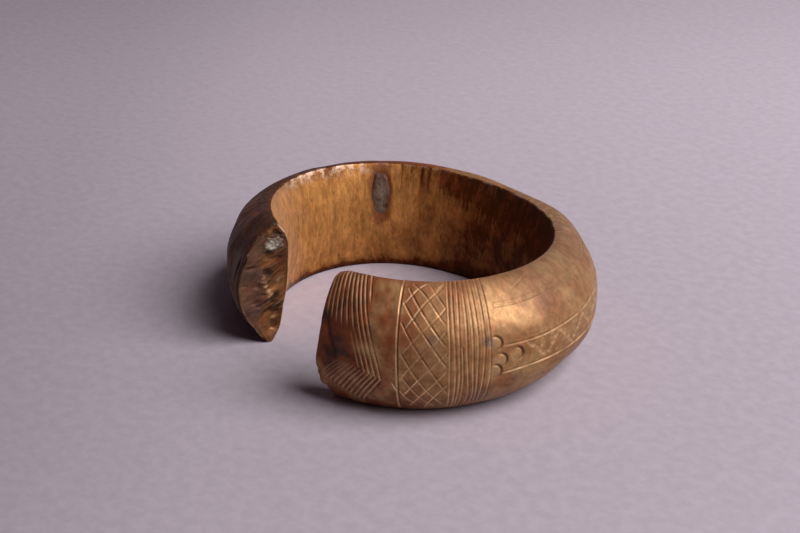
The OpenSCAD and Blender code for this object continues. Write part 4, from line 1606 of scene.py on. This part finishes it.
class NodeKit:
    """Short ways to place and join shader nodes in one tree."""

    def __init__(self, tree: Tree) -> None:
        """Holds the tree."""
        self.tree = tree

    def add(self, kind: str, **values: object) -> Node:
        """Places a node and sets its plain values.

        Args:
            kind: Blender's name of the node.
            **values: Properties of the node by name.

        Returns:
            The node.
        """
        node = self.tree.nodes.new(kind)
        for name, value in values.items():
            setattr(node, name, value)
        return node

    def join(self, source: Socket, target: Socket) -> None:
        """Links two sockets."""
        self.tree.links.new(source, target)

    def feed(self, target: Socket, value: object) -> None:
        """Links a socket to another, or sets its value.

        Args:
            target: Socket that is fed.
            value: Value or socket.
        """
        if isinstance(value, Socket):
            self.join(value, target)
        elif isinstance(value, tuple) and target.type == "RGBA":
            target.default_value = (*value[:3], 1.0)
        else:
            target.default_value = value

    def math(self, operation: str, a: object, b: object = 0.0, clamp: bool = False) -> Socket:
        """One sum of two values.

        Args:
            operation: Blender's name of the sum.
            a: First value or socket.
            b: Second value or socket.
            clamp: Whether the result is kept from 0 to 1.

        Returns:
            The result's socket.
        """
        node = self.add("ShaderNodeMath", operation=operation, use_clamp=clamp)
        self.feed(node.inputs[0], a)
        self.feed(node.inputs[1], b)
        return node.outputs[0]

    def mix(self, share: object, a: object, b: object, blend: str = "MIX") -> Socket:
        """Mixes two colours.

        Args:
            share: Share of the second colour.
            a: First colour or socket.
            b: Second colour or socket.
            blend: Blender's name of the blend.

        Returns:
            The colour's socket.
        """
        node = self.add("ShaderNodeMix", data_type="RGBA", blend_type=blend, clamp_factor=True)
        self.feed(node.inputs["Factor"], share)
        self.feed(node.inputs[6], a)
        self.feed(node.inputs[7], b)
        return node.outputs[2]

    def ramp(self, value: object, low: float, high: float, start: float = 0.0,
             stop: float = 1.0) -> Socket:
        """Maps a range to another with soft ends.

        Args:
            value: Value or socket.
            low: Value that maps to start.
            high: Value that maps to stop.
            start: First result.
            stop: Last result.

        Returns:
            The result's socket.
        """
        node = self.add("ShaderNodeMapRange", interpolation_type="SMOOTHSTEP")
        names = ("Value", "From Min", "From Max", "To Min", "To Max")
        for name, number in zip(names, (value, low, high, start, stop)):
            self.feed(node.inputs[name], number)
        return node.outputs["Result"]

    def noise(self, vector: object, scale: object, detail: float = 3.0, rough: float = 0.55,
              twist: float = 0.0) -> Socket:
        """Noise over a vector.

        Args:
            vector: Vector's socket.
            scale: Lumps in a unit of the vector, as a value or socket.
            detail: Octaves of finer noise.
            rough: Strength of the finer noise.
            twist: Distortion.

        Returns:
            The noise's value socket.
        """
        node = self.add("ShaderNodeTexNoise")
        self.feed(node.inputs["Vector"], vector)
        for name, number in (("Scale", scale), ("Detail", detail), ("Roughness", rough), ("Distortion", twist)):
            self.feed(node.inputs[name], number)
        return node.outputs["Fac"]

    def scaled(self, vector: object, factors: Colour) -> Socket:
        """A vector with each of its parts scaled.

        Args:
            vector: Vector's socket.
            factors: Factor of each part.

        Returns:
            The vector's socket.
        """
        node = self.add("ShaderNodeVectorMath", operation="MULTIPLY")
        self.feed(node.inputs[0], vector)
        node.inputs[1].default_value = factors
        return node.outputs[0]

    def grey(self, value: object) -> Socket:
        """A value as a grey colour.

        Args:
            value: Value or socket.

        Returns:
            The colour's socket.
        """
        node = self.add("ShaderNodeCombineColor")
        for socket in node.inputs:
            self.feed(socket, value)
        return node.outputs[0]

    def mask(self, mark: Mark) -> Socket:
        """One of the mesh's masks."""
        return self.add("ShaderNodeAttribute", attribute_name=mark.value).outputs["Fac"]

    def place(self) -> Socket:
        """Place on the object, in millimetres."""
        return self.scaled(self.add("ShaderNodeTexCoord").outputs["Object"], (1 / MM, 1 / MM, 1 / MM))

    def times(self, a: object, b: object) -> Socket:
        """The product of two values."""
        return self.math("MULTIPLY", a, b)

    def plus(self, a: object, b: object, share: float) -> Socket:
        """A value with a share of another added."""
        return self.math("ADD", a, self.times(b, share))

    def larger(self, a: object, b: object) -> Socket:
        """The larger of two values."""
        return self.math("MAXIMUM", a, b)

    def effect(self, tree: Tree, **inputs: object) -> Node:
        """Places a shared effect.

        Args:
            tree: The effect's group.
            **inputs: Values or sockets of its inputs by name.

        Returns:
            The node.
        """
        node = self.add("ShaderNodeGroup", node_tree=tree)
        for name, value in inputs.items():
            self.feed(node.inputs[name], value)
        return node

    def bump(self, shader: Node, height: Socket, strength: float, depth: float) -> None:
        """Roughens a shader's surface.

        Args:
            shader: The shader.
            height: Height's socket.
            strength: Strength of the bump.
            depth: Its depth, in millimetres.
        """
        node = self.add("ShaderNodeBump")
        node.inputs["Strength"].default_value = strength
        node.inputs["Distance"].default_value = depth * MM
        self.join(height, node.inputs["Height"])
        self.join(node.outputs["Normal"], shader.inputs["Normal"])


def new_material(name: str) -> tuple[Material, NodeKit, Node]:
    """Starts a material.

    Args:
        name: Its name.
    """
    material = bpy.data.materials.new(name)
    material.use_nodes = True
    return material, NodeKit(material.node_tree), material.node_tree.nodes["Principled BSDF"]


class MetalEffects:
    """Effects that the metal finishes share, each a node group that is built once."""

    def __init__(self) -> None:
        """Builds the groups."""
        self.mottle = self.build_mottle()
        self.brush = self.build_brush()
        self.pits = self.build_pits()

    @staticmethod
    def group(name: str, inputs: Iterable[tuple[str, str, object]], outputs: Iterable[tuple[str, str]]
              ) -> tuple[Tree, NodeKit, Node, Node]:
        """Starts a group with its sockets.

        Args:
            name: Name of the group.
            inputs: Name, socket type and default of each input.
            outputs: Name and socket type of each output.

        Returns:
            The group, its kit, and its input and output nodes.
        """
        tree = bpy.data.node_groups.new(name, "ShaderNodeTree")
        for label, kind, value in inputs:
            socket = tree.interface.new_socket(label, in_out="INPUT", socket_type=kind)
            if value is not None:
                socket.default_value = value
        for label, kind in outputs:
            tree.interface.new_socket(label, in_out="OUTPUT", socket_type=kind)
        kit = NodeKit(tree)
        return tree, kit, kit.add("NodeGroupInput"), kit.add("NodeGroupOutput")

    def build_mottle(self) -> Tree:
        """Cloudy colour of old metal: broad clouds with finer ones in them, specks, blotches and a blush.

        Returns:
            The group.
        """
        tree, kit, source, target = self.group(
            "metal_mottle",
            (("Vector", "NodeSocketVector", None), ("Size", "NodeSocketFloat", 6.0)),
            tuple((name, "NodeSocketFloat") for name in ("Clouds", "Grain", "Speck", "Blotch", "Blush")))
        vector = source.outputs["Vector"]
        scale = kit.math("DIVIDE", 1.0, source.outputs["Size"])
        for name, finer, detail, soft in (("Clouds", 1.0, 4.0, (0.34, 0.66)), ("Grain", 9.0, 3.0, (0.3, 0.7))):
            value = kit.noise(vector, kit.times(scale, finer), detail=detail, rough=0.62)
            kit.join(kit.ramp(value, *soft), target.inputs[name])
        marks = (("Speck", 2.3, 2.0, 0.7, (0.32, 0.68)), ("Blotch", 0.62, 3.0, 0.6, (0.3, 0.7)))
        for name, size, detail, rough, soft in marks:
            kit.join(kit.ramp(kit.noise(vector, size, detail, rough), *soft), target.inputs[name])
        moved = kit.add("ShaderNodeVectorMath", operation="ADD")
        kit.join(vector, moved.inputs[0])
        moved.inputs[1].default_value = (31.0, 17.0, 5.0)
        blush = kit.noise(moved.outputs[0], scale=0.45, detail=3.0, rough=0.6)
        kit.join(kit.ramp(blush, 0.48, 0.7), target.inputs["Blush"])
        return tree

    def build_brush(self) -> Tree:
        """Fine upright strokes of a file or a brush, over unrolled coordinates.

        Returns:
            The group.
        """
        tree, kit, source, target = self.group(
            "brush_strokes",
            (("Lay", "NodeSocketVector", None),),
            (("Strokes", "NodeSocketFloat"), ("Height", "NodeSocketFloat"), ("Dashes", "NodeSocketFloat")))
        lay = source.outputs["Lay"]
        wide = kit.noise(kit.scaled(lay, (0.9, 0.16, 1.0)), scale=1.0, detail=3.0, rough=0.6, twist=0.2)
        thin = kit.noise(kit.scaled(lay, (3.2, 0.42, 1.0)), scale=1.0, detail=2.0, rough=0.65, twist=0.2)
        short = kit.noise(kit.scaled(lay, (2.6, 0.5, 1.0)), scale=1.0, detail=1.0, rough=0.5)
        both = kit.plus(kit.times(wide, 0.4), thin, 0.6)
        kit.join(kit.ramp(both, 0.36, 0.64), target.inputs["Strokes"])
        kit.join(both, target.inputs["Height"])
        kit.join(kit.ramp(short, 0.62, 0.72), target.inputs["Dashes"])
        return tree

    def build_pits(self) -> Tree:
        """Small pits and specks of cast metal.

        Returns:
            The group.
        """
        tree, kit, source, target = self.group(
            "cast_pits",
            (("Vector", "NodeSocketVector", None), ("Density", "NodeSocketFloat", 0.5)),
            (("Pits", "NodeSocketFloat"), ("Height", "NodeSocketFloat")))
        vector = source.outputs["Vector"]
        cells = kit.add("ShaderNodeTexVoronoi", feature="F1")
        kit.join(vector, cells.inputs["Vector"])
        cells.inputs["Scale"].default_value = 0.85
        patches = kit.plus(kit.noise(vector, scale=0.22, detail=3.0), source.outputs["Density"], 0.25)
        pits = kit.times(kit.ramp(cells.outputs["Distance"], 0.26, 0.08), kit.ramp(patches, 0.6, 0.72))
        kit.join(pits, target.inputs["Pits"])
        grain = kit.times(kit.noise(vector, scale=2.6, detail=3.0, rough=0.6), 0.35)
        kit.join(kit.math("SUBTRACT", grain, pits), target.inputs["Height"])
        return tree


@dataclass(frozen=True)
class BrassFinish:
    """Old brass: bare metal, brown tarnish with painted shade in places, dark dirt in the lines with painted
    shade, and worn crests and rims with painted highlights.
    """

    name: str
    bare: Colour
    tarnish: Colour
    dirt_and_shade: Colour
    bright: Colour
    stain: Colour
    tarnish_share: float
    brushed: float
    pitted: float
    scuffed: float
    metal: float
    bump: float = 0.25
    scuff_from: float = 0.48
    crest_share: float = 0.34
    streaked: float = 0.0
    sheen: float = 0.2
    mottled: float = 0.5
    blushed: float = 0.2
    upright: float = 1.0
    blush: Colour = srgb(146, 76, 46)
    flush: Colour = srgb(122, 60, 36)
    pale: Colour = (1.05, 1.03, 1.03)
    olive: Colour = (0.97, 0.95, 0.9)
    speck_mean: float = 0.95
    speck_swing: Span = (0.13, 0.11)
    rough: float = 0.4
    bump_depth: float = 0.12

    def build(self, effects: MetalEffects) -> Material:
        """Makes the material.

        Args:
            effects: The shared node groups.

        Returns:
            The material.
        """
        material, kit, shader = new_material(self.name)
        shader.inputs["Specular IOR Level"].default_value = self.sheen
        place = kit.place()
        lay = kit.add("ShaderNodeAttribute", attribute_name=Mark.LAY.value).outputs["Vector"]
        mottle = kit.effect(effects.mottle, Vector=kit.scaled(lay, (1.0, self.upright, 1.0)))
        brush = kit.effect(effects.brush, Lay=lay)
        pits = kit.effect(effects.pits, Vector=place, Density=self.pitted)
        grain, blotch, strokes = mottle.outputs["Grain"], mottle.outputs["Blotch"], brush.outputs["Strokes"]
        brushed_off = self.tarnish_share * (1 - self.streaked)
        old = kit.times(kit.mask(Mark.TARNISH), kit.ramp(strokes, 0.35, 1.0, self.tarnish_share, brushed_off))
        old = kit.plus(kit.plus(old, mottle.outputs["Clouds"], 0.3), grain, 0.14)
        raw = kit.plus(old, strokes, self.brushed)
        old = kit.math("MINIMUM", raw, 1.0)
        # rubbed rims, with the painted highlight along the right rim
        scuff_and_highlight = kit.noise(place, 0.55, detail=5.0, rough=0.72)
        scuff_and_highlight = kit.ramp(scuff_and_highlight, self.scuff_from, self.scuff_from + 0.16)
        scuff_and_highlight = kit.times(kit.times(kit.mask(Mark.EDGE), scuff_and_highlight), self.scuffed)
        # dirt in the lines and pits, with the painted shade of the grooves' unlit walls
        groove_dirt_and_shade = kit.times(kit.ramp(kit.mask(Mark.LINE), 0.15, 0.9), 0.55)
        groove_dirt_and_shade = kit.larger(groove_dirt_and_shade, kit.times(pits.outputs["Pits"], self.pitted))
        groove_dirt_and_shade = kit.larger(groove_dirt_and_shade, kit.times(brush.outputs["Dashes"], 2.2 * self.brushed))
        layers = (
            # painted shade where the tarnish mask runs over 1, as on the left terminal's outer face; elsewhere
            # dark tarnish
            (kit.ramp(raw, 1.05, 1.75, 0.0, 0.8), self.dirt_and_shade, "MIX"),
            (kit.times(mottle.outputs["Blush"], self.blushed), self.blush, "MIX"),
            (kit.ramp(blotch, 0.5, 0.9), self.pale, "MULTIPLY"),
            (kit.ramp(blotch, 0.5, 0.1), self.olive, "MULTIPLY"),
            (kit.times(kit.mask(Mark.FLUSH), 0.6), self.flush, "MIX"),
            (kit.times(kit.mask(Mark.STAIN), 0.75), self.stain, "MIX"),
            # painted highlights with wear: crests, the wall's grazing strip and the rubbed rims take the light
            # colour
            (kit.larger(kit.times(kit.mask(Mark.CREST), self.crest_share), scuff_and_highlight), self.bright, "MIX"),
            (groove_dirt_and_shade, self.dirt_and_shade, "MIX"))
        colour = kit.mix(old, self.bare, self.tarnish)
        for share, layer, blend in layers:
            colour = kit.mix(share, colour, layer, blend)
        dark, light = (swing * self.mottled for swing in self.speck_swing)
        shade = kit.ramp(mottle.outputs["Speck"], 0.0, 1.0, self.speck_mean - dark, self.speck_mean + light)
        shade = kit.plus(shade, grain, 0.06)
        shade = kit.math("ADD", shade, kit.ramp(blotch, 0.0, 1.0, -0.1, 0.14))
        kit.join(kit.mix(1.0, colour, kit.grey(shade), "MULTIPLY"), shader.inputs["Base Color"])
        dulled = kit.times(kit.larger(groove_dirt_and_shade, old), 0.48)
        kit.join(kit.math("SUBTRACT", self.metal, dulled, True), shader.inputs["Metallic"])
        rough = kit.plus(self.rough, old, 0.14)
        kit.join(kit.math("ADD", rough, kit.times(groove_dirt_and_shade, 0.25), True), shader.inputs["Roughness"])
        height = kit.times(pits.outputs["Height"], 0.5)
        height = kit.plus(height, brush.outputs["Height"], 3.0 * self.brushed)
        kit.bump(shader, height, self.bump, self.bump_depth)
        return material


@dataclass(frozen=True)
class FillFinish:
    """Dull grey metal of a fill, with specks and a brown edge."""

    name: str
    pale: Colour
    dark: Colour
    brown: Colour
    metal: float
    rough: float
    glint: float
    hole: Colour = srgb(30, 22, 18)
    spark: Colour = srgb(230, 220, 206)
    pit_scale: float = 1.8
    ragged: float = 0.35
    rim: Span = (0.65, 1.4)
    bump: float = 0.5
    bump_depth: float = 0.15

    def build(self, effects: MetalEffects) -> Material:
        """Makes the material.

        Args:
            effects: The shared node groups.

        Returns:
            The material.
        """
        material, kit, shader = new_material(self.name)
        place = kit.place()
        mottle = kit.effect(effects.mottle, Vector=place, Size=2.2)
        spread = kit.scaled(place, (self.pit_scale, self.pit_scale, self.pit_scale))
        pits = kit.effect(effects.pits, Vector=spread, Density=0.9)
        grain = mottle.outputs["Grain"]
        ragged = kit.times(kit.math("ADD", grain, mottle.outputs["Blotch"]), self.ragged)
        layers = (
            (kit.times(kit.ramp(grain, 0.55, 0.95), 0.6), self.brown),
            (kit.times(pits.outputs["Pits"], 0.8), self.hole),
            (kit.times(kit.ramp(mottle.outputs["Speck"], 0.62, 0.9), self.glint), self.spark),
            (kit.ramp(kit.math("ADD", kit.mask(Mark.EDGE), ragged), *self.rim), self.brown))
        colour = kit.mix(mottle.outputs["Clouds"], self.dark, self.pale)
        for share, layer in layers:
            colour = kit.mix(share, colour, layer)
        kit.join(colour, shader.inputs["Base Color"])
        shader.inputs["Metallic"].default_value = self.metal
        kit.join(kit.plus(self.rough, grain, 0.2), shader.inputs["Roughness"])
        kit.bump(shader, pits.outputs["Height"], self.bump, self.bump_depth)
        return material


@dataclass(frozen=True)
class PaperFinish:
    """Pale grey studio paper, with painted shade that makes it darker to the left and towards the front."""

    colour: Colour = srgb(171, 159, 169)
    fibre_scale: Colour = (380.0, 440.0, 300.0)
    fibre_tone: Fade = (0.25, 0.75, 0.94, 1.06)
    painted_falloffs: tuple[tuple[Colour, Fade], ...] = (
        ((-0.802, 0.598, 0.0), (-0.06, 0.2, 0.95, 1.36)),
        ((0.598, 0.802, 0.0), (-0.1, -0.03, 0.86, 1.0)))
    rough: float = 0.92
    sheen: float = 0.15
    bump: float = 0.06
    bump_depth: float = 0.2

    def build(self) -> Material:
        """Makes the material.

        Returns:
            The material.
        """
        material, kit, shader = new_material("studio_paper")
        place = kit.add("ShaderNodeTexCoord").outputs["Object"]
        fibre = kit.noise(kit.scaled(place, self.fibre_scale), scale=1.0, detail=4.0, rough=0.6)
        tone = kit.ramp(fibre, *self.fibre_tone)
        # painted falloff of the light: darker to the left and towards the front
        for way, fade in self.painted_falloffs:
            along = kit.add("ShaderNodeVectorMath", operation="DOT_PRODUCT")
            kit.join(place, along.inputs[0])
            along.inputs[1].default_value = way
            tone = kit.times(tone, kit.ramp(along.outputs["Value"], *fade))
        kit.join(kit.mix(1.0, self.colour, kit.grey(tone), "MULTIPLY"), shader.inputs["Base Color"])
        shader.inputs["Roughness"].default_value = self.rough
        shader.inputs["Specular IOR Level"].default_value = self.sheen
        kit.bump(shader, fibre, self.bump, self.bump_depth)
        return material


@dataclass(frozen=True)
class SoftLamp:
    """A square soft light that looks at the object from a bearing and a height."""

    name: str
    bearing: float
    rise: float
    distance: float
    size: float
    power: float
    colour: Colour = (1.0, 1.0, 1.0)

    def build(self) -> None:
        """Places the lamp; its bearing is counted from the camera's right, anticlockwise from above."""
        lamp = bpy.data.lights.new(self.name, "AREA")
        lamp.shape, lamp.size, lamp.energy, lamp.color = "SQUARE", self.size, self.power, self.colour
        turn, rise = np.radians(StudioCamera().azimuth + self.bearing), np.radians(self.rise)
        way = Vector((np.cos(turn) * np.cos(rise), np.sin(turn) * np.cos(rise), np.sin(rise)))
        piece = bpy.data.objects.new(self.name, lamp)
        piece.location = way * self.distance
        piece.rotation_euler = way.to_track_quat("Z", "Y").to_euler()
        bpy.context.scene.collection.objects.link(piece)


@dataclass(frozen=True)
class StudioCamera:
    """The camera at the photograph's viewing angle."""

    azimuth: float = 53.308
    elevation: float = 26.007
    roll: float = -1.415
    lens: float = 63.534
    distance: float = 323.82
    target: tuple[float, float, float] = (-22.487, 15.207, 0.0)
    sensor: float = 36.0
    clip: Span = (0.01, 20.0)

    def build(self) -> None:
        """Makes the camera and shows the scene through it."""
        az, el, roll = (np.radians(v) for v in (self.azimuth, self.elevation, self.roll))
        ahead = Vector((-np.sin(az) * np.cos(el), np.cos(az) * np.cos(el), -np.sin(el)))
        right = Vector((np.cos(az), np.sin(az), 0))
        up = right.cross(ahead)
        right, up = right * np.cos(roll) + up * np.sin(roll), up * np.cos(roll) - right * np.sin(roll)
        spot = (Vector(self.target) - ahead * self.distance) * MM
        data = bpy.data.cameras.new("camera")
        data.lens, data.sensor_width, data.sensor_fit = self.lens, self.sensor, "HORIZONTAL"
        data.clip_start, data.clip_end = self.clip
        piece = bpy.data.objects.new("camera", data)
        piece.matrix_world = Matrix.Translation(spot) @ Matrix((right, up, -ahead)).transposed().to_4x4()
        bpy.context.scene.collection.objects.link(piece)
        bpy.context.scene.camera = piece


@dataclass
class Studio:
    """Paper floor, soft lamps, dim surroundings and the camera."""

    floor_radius: float = 0.65
    floor_sides: int = 96
    surround: Colour = srgb(164, 152, 161)
    glow: Colour = (0.035, 0.02, 0.027)
    lamps: tuple[SoftLamp, ...] = (
        SoftLamp("key_lamp", bearing=-28.0, rise=46.5, distance=0.68, size=0.52, power=7.2),
        SoftLamp("top_lamp", bearing=70.0, rise=75.0, distance=0.9, size=0.6, power=0.2))

    def floor(self) -> None:
        """Lays the paper under the object."""
        turn = np.linspace(0, 2 * np.pi, self.floor_sides, endpoint=False)
        points = [(self.floor_radius * np.cos(a), self.floor_radius * np.sin(a), 0.0) for a in turn]
        mesh = bpy.data.meshes.new("paper_floor")
        mesh.from_pydata(points, [], [tuple(range(len(points)))])
        piece = bpy.data.objects.new("paper_floor", mesh)
        mesh.materials.append(PaperFinish().build())
        bpy.context.scene.collection.objects.link(piece)

    def world(self) -> None:
        """Lights the scene softly all round, with the paper's colour behind the floor."""
        world = bpy.data.worlds.new("surround")
        bpy.context.scene.world = world
        world.use_nodes = True
        kit = NodeKit(world.node_tree)
        back = world.node_tree.nodes["Background"]
        path = kit.add("ShaderNodeLightPath")
        seen = kit.larger(path.outputs["Is Glossy Ray"], path.outputs["Is Transmission Ray"])
        seen = kit.larger(path.outputs["Is Camera Ray"], seen)
        kit.join(kit.mix(seen, self.glow, self.surround), back.inputs["Color"])

    def build(self) -> None:
        """Sets up the whole studio."""
        bpy.context.scene.view_settings.view_transform = "Standard"
        self.floor()
        self.world()
        for lamp in self.lamps:
            lamp.build()
        StudioCamera().build()


FACE_BRASS = BrassFinish(
    "chased_face", bare=srgb(170, 135, 92), tarnish=srgb(114, 59, 27), dirt_and_shade=srgb(29, 14, 7),
    bright=srgb(226, 184, 140), stain=srgb(86, 70, 68), tarnish_share=0.85, brushed=0.05, pitted=0.15,
    scuffed=0.2, metal=0.6, sheen=0.22)
WALL_BRASS = BrassFinish(
    "worn_wall", bare=srgb(224, 158, 90), tarnish=srgb(78, 35, 9), dirt_and_shade=srgb(46, 26, 16),
    bright=srgb(236, 202, 180), stain=srgb(112, 66, 44), tarnish_share=0.9, brushed=0.24, pitted=0.2,
    scuffed=0.68, metal=0.6, scuff_from=0.44, crest_share=0.7, streaked=0.4, sheen=0.06, blushed=0.35,
    upright=0.6)
END_BRASS = BrassFinish(
    "rough_end", bare=srgb(162, 108, 66), tarnish=srgb(48, 27, 19), dirt_and_shade=srgb(22, 12, 8),
    bright=srgb(206, 160, 120), stain=srgb(92, 68, 60), tarnish_share=0.95, brushed=0.2, pitted=0.4,
    scuffed=0.45, metal=0.5, bump=0.5, scuff_from=0.3, crest_share=0.42, sheen=0.1, mottled=1.0, blushed=0.35,
    upright=0.5)
DARK_METAL = FillFinish(
    "dark_fill", pale=srgb(118, 100, 82), dark=srgb(62, 46, 37), brown=srgb(80, 43, 29), metal=0.35, rough=0.5,
    glint=0.05)
PALE_METAL = FillFinish(
    "pale_fill", pale=srgb(188, 180, 164), dark=srgb(110, 98, 84), brown=srgb(96, 66, 50), metal=0.3,
    rough=0.45, glint=0.5)
WALL_FILL_TURN = -117.4
WALL_FILL_LEAN = 0.17


def wall_fill(plan: BandPlan) -> MetalFill:
    """The fill of the inner wall, which faces the opening.

    Args:
        plan: Plan of the band.

    Returns:
        The fill.
    """
    _, _, outward = plan.axes(np.array(WALL_FILL_TURN))
    out = (-float(outward[0]), -float(outward[1]), WALL_FILL_LEAN)
    return MetalFill(
        "wall_fill", "wall_plug", "dark_fill", long=10.8, wide=4.2, deep=2.5, crown=0.55, rough=0.06, seed=5,
        out=out)


def end_fill(plan: BandPlan) -> MetalFill:
    """The fill of the left end, which faces the gap.

    Args:
        plan: Plan of the band.

    Returns:
        The fill.
    """
    _, along, _ = plan.axes(np.array(-plan.gap_half))
    out = (float(along[0]), float(along[1]), 0.0)
    return MetalFill(
        "end_fill", "end_plug", "pale_fill", long=3.0, wide=4.7, deep=2.5, crown=0.0, rough=0.14, seed=9,
        out=out, ragged=0.2)


def main() -> None:
    """Builds and dresses the pieces in order."""
    logging.basicConfig(level=logging.INFO, format="%(name)s: %(message)s")
    effects = MetalEffects()
    ring = RingCasting()
    band = ring.build()
    ring.dress(band, [finish.build(effects) for finish in (FACE_BRASS, WALL_BRASS, END_BRASS)])
    LOG.info("%s: %d faces", band.name, len(band.data.polygons))
    for fill, finish in ((wall_fill(ring.plan), DARK_METAL), (end_fill(ring.plan), PALE_METAL)):
        piece = fill.build()
        fill.dress(piece, finish.build(effects))
        LOG.info("%s: %d faces", piece.name, len(piece.data.polygons))
    Studio().build()


if __name__ == "__main__":
    main()
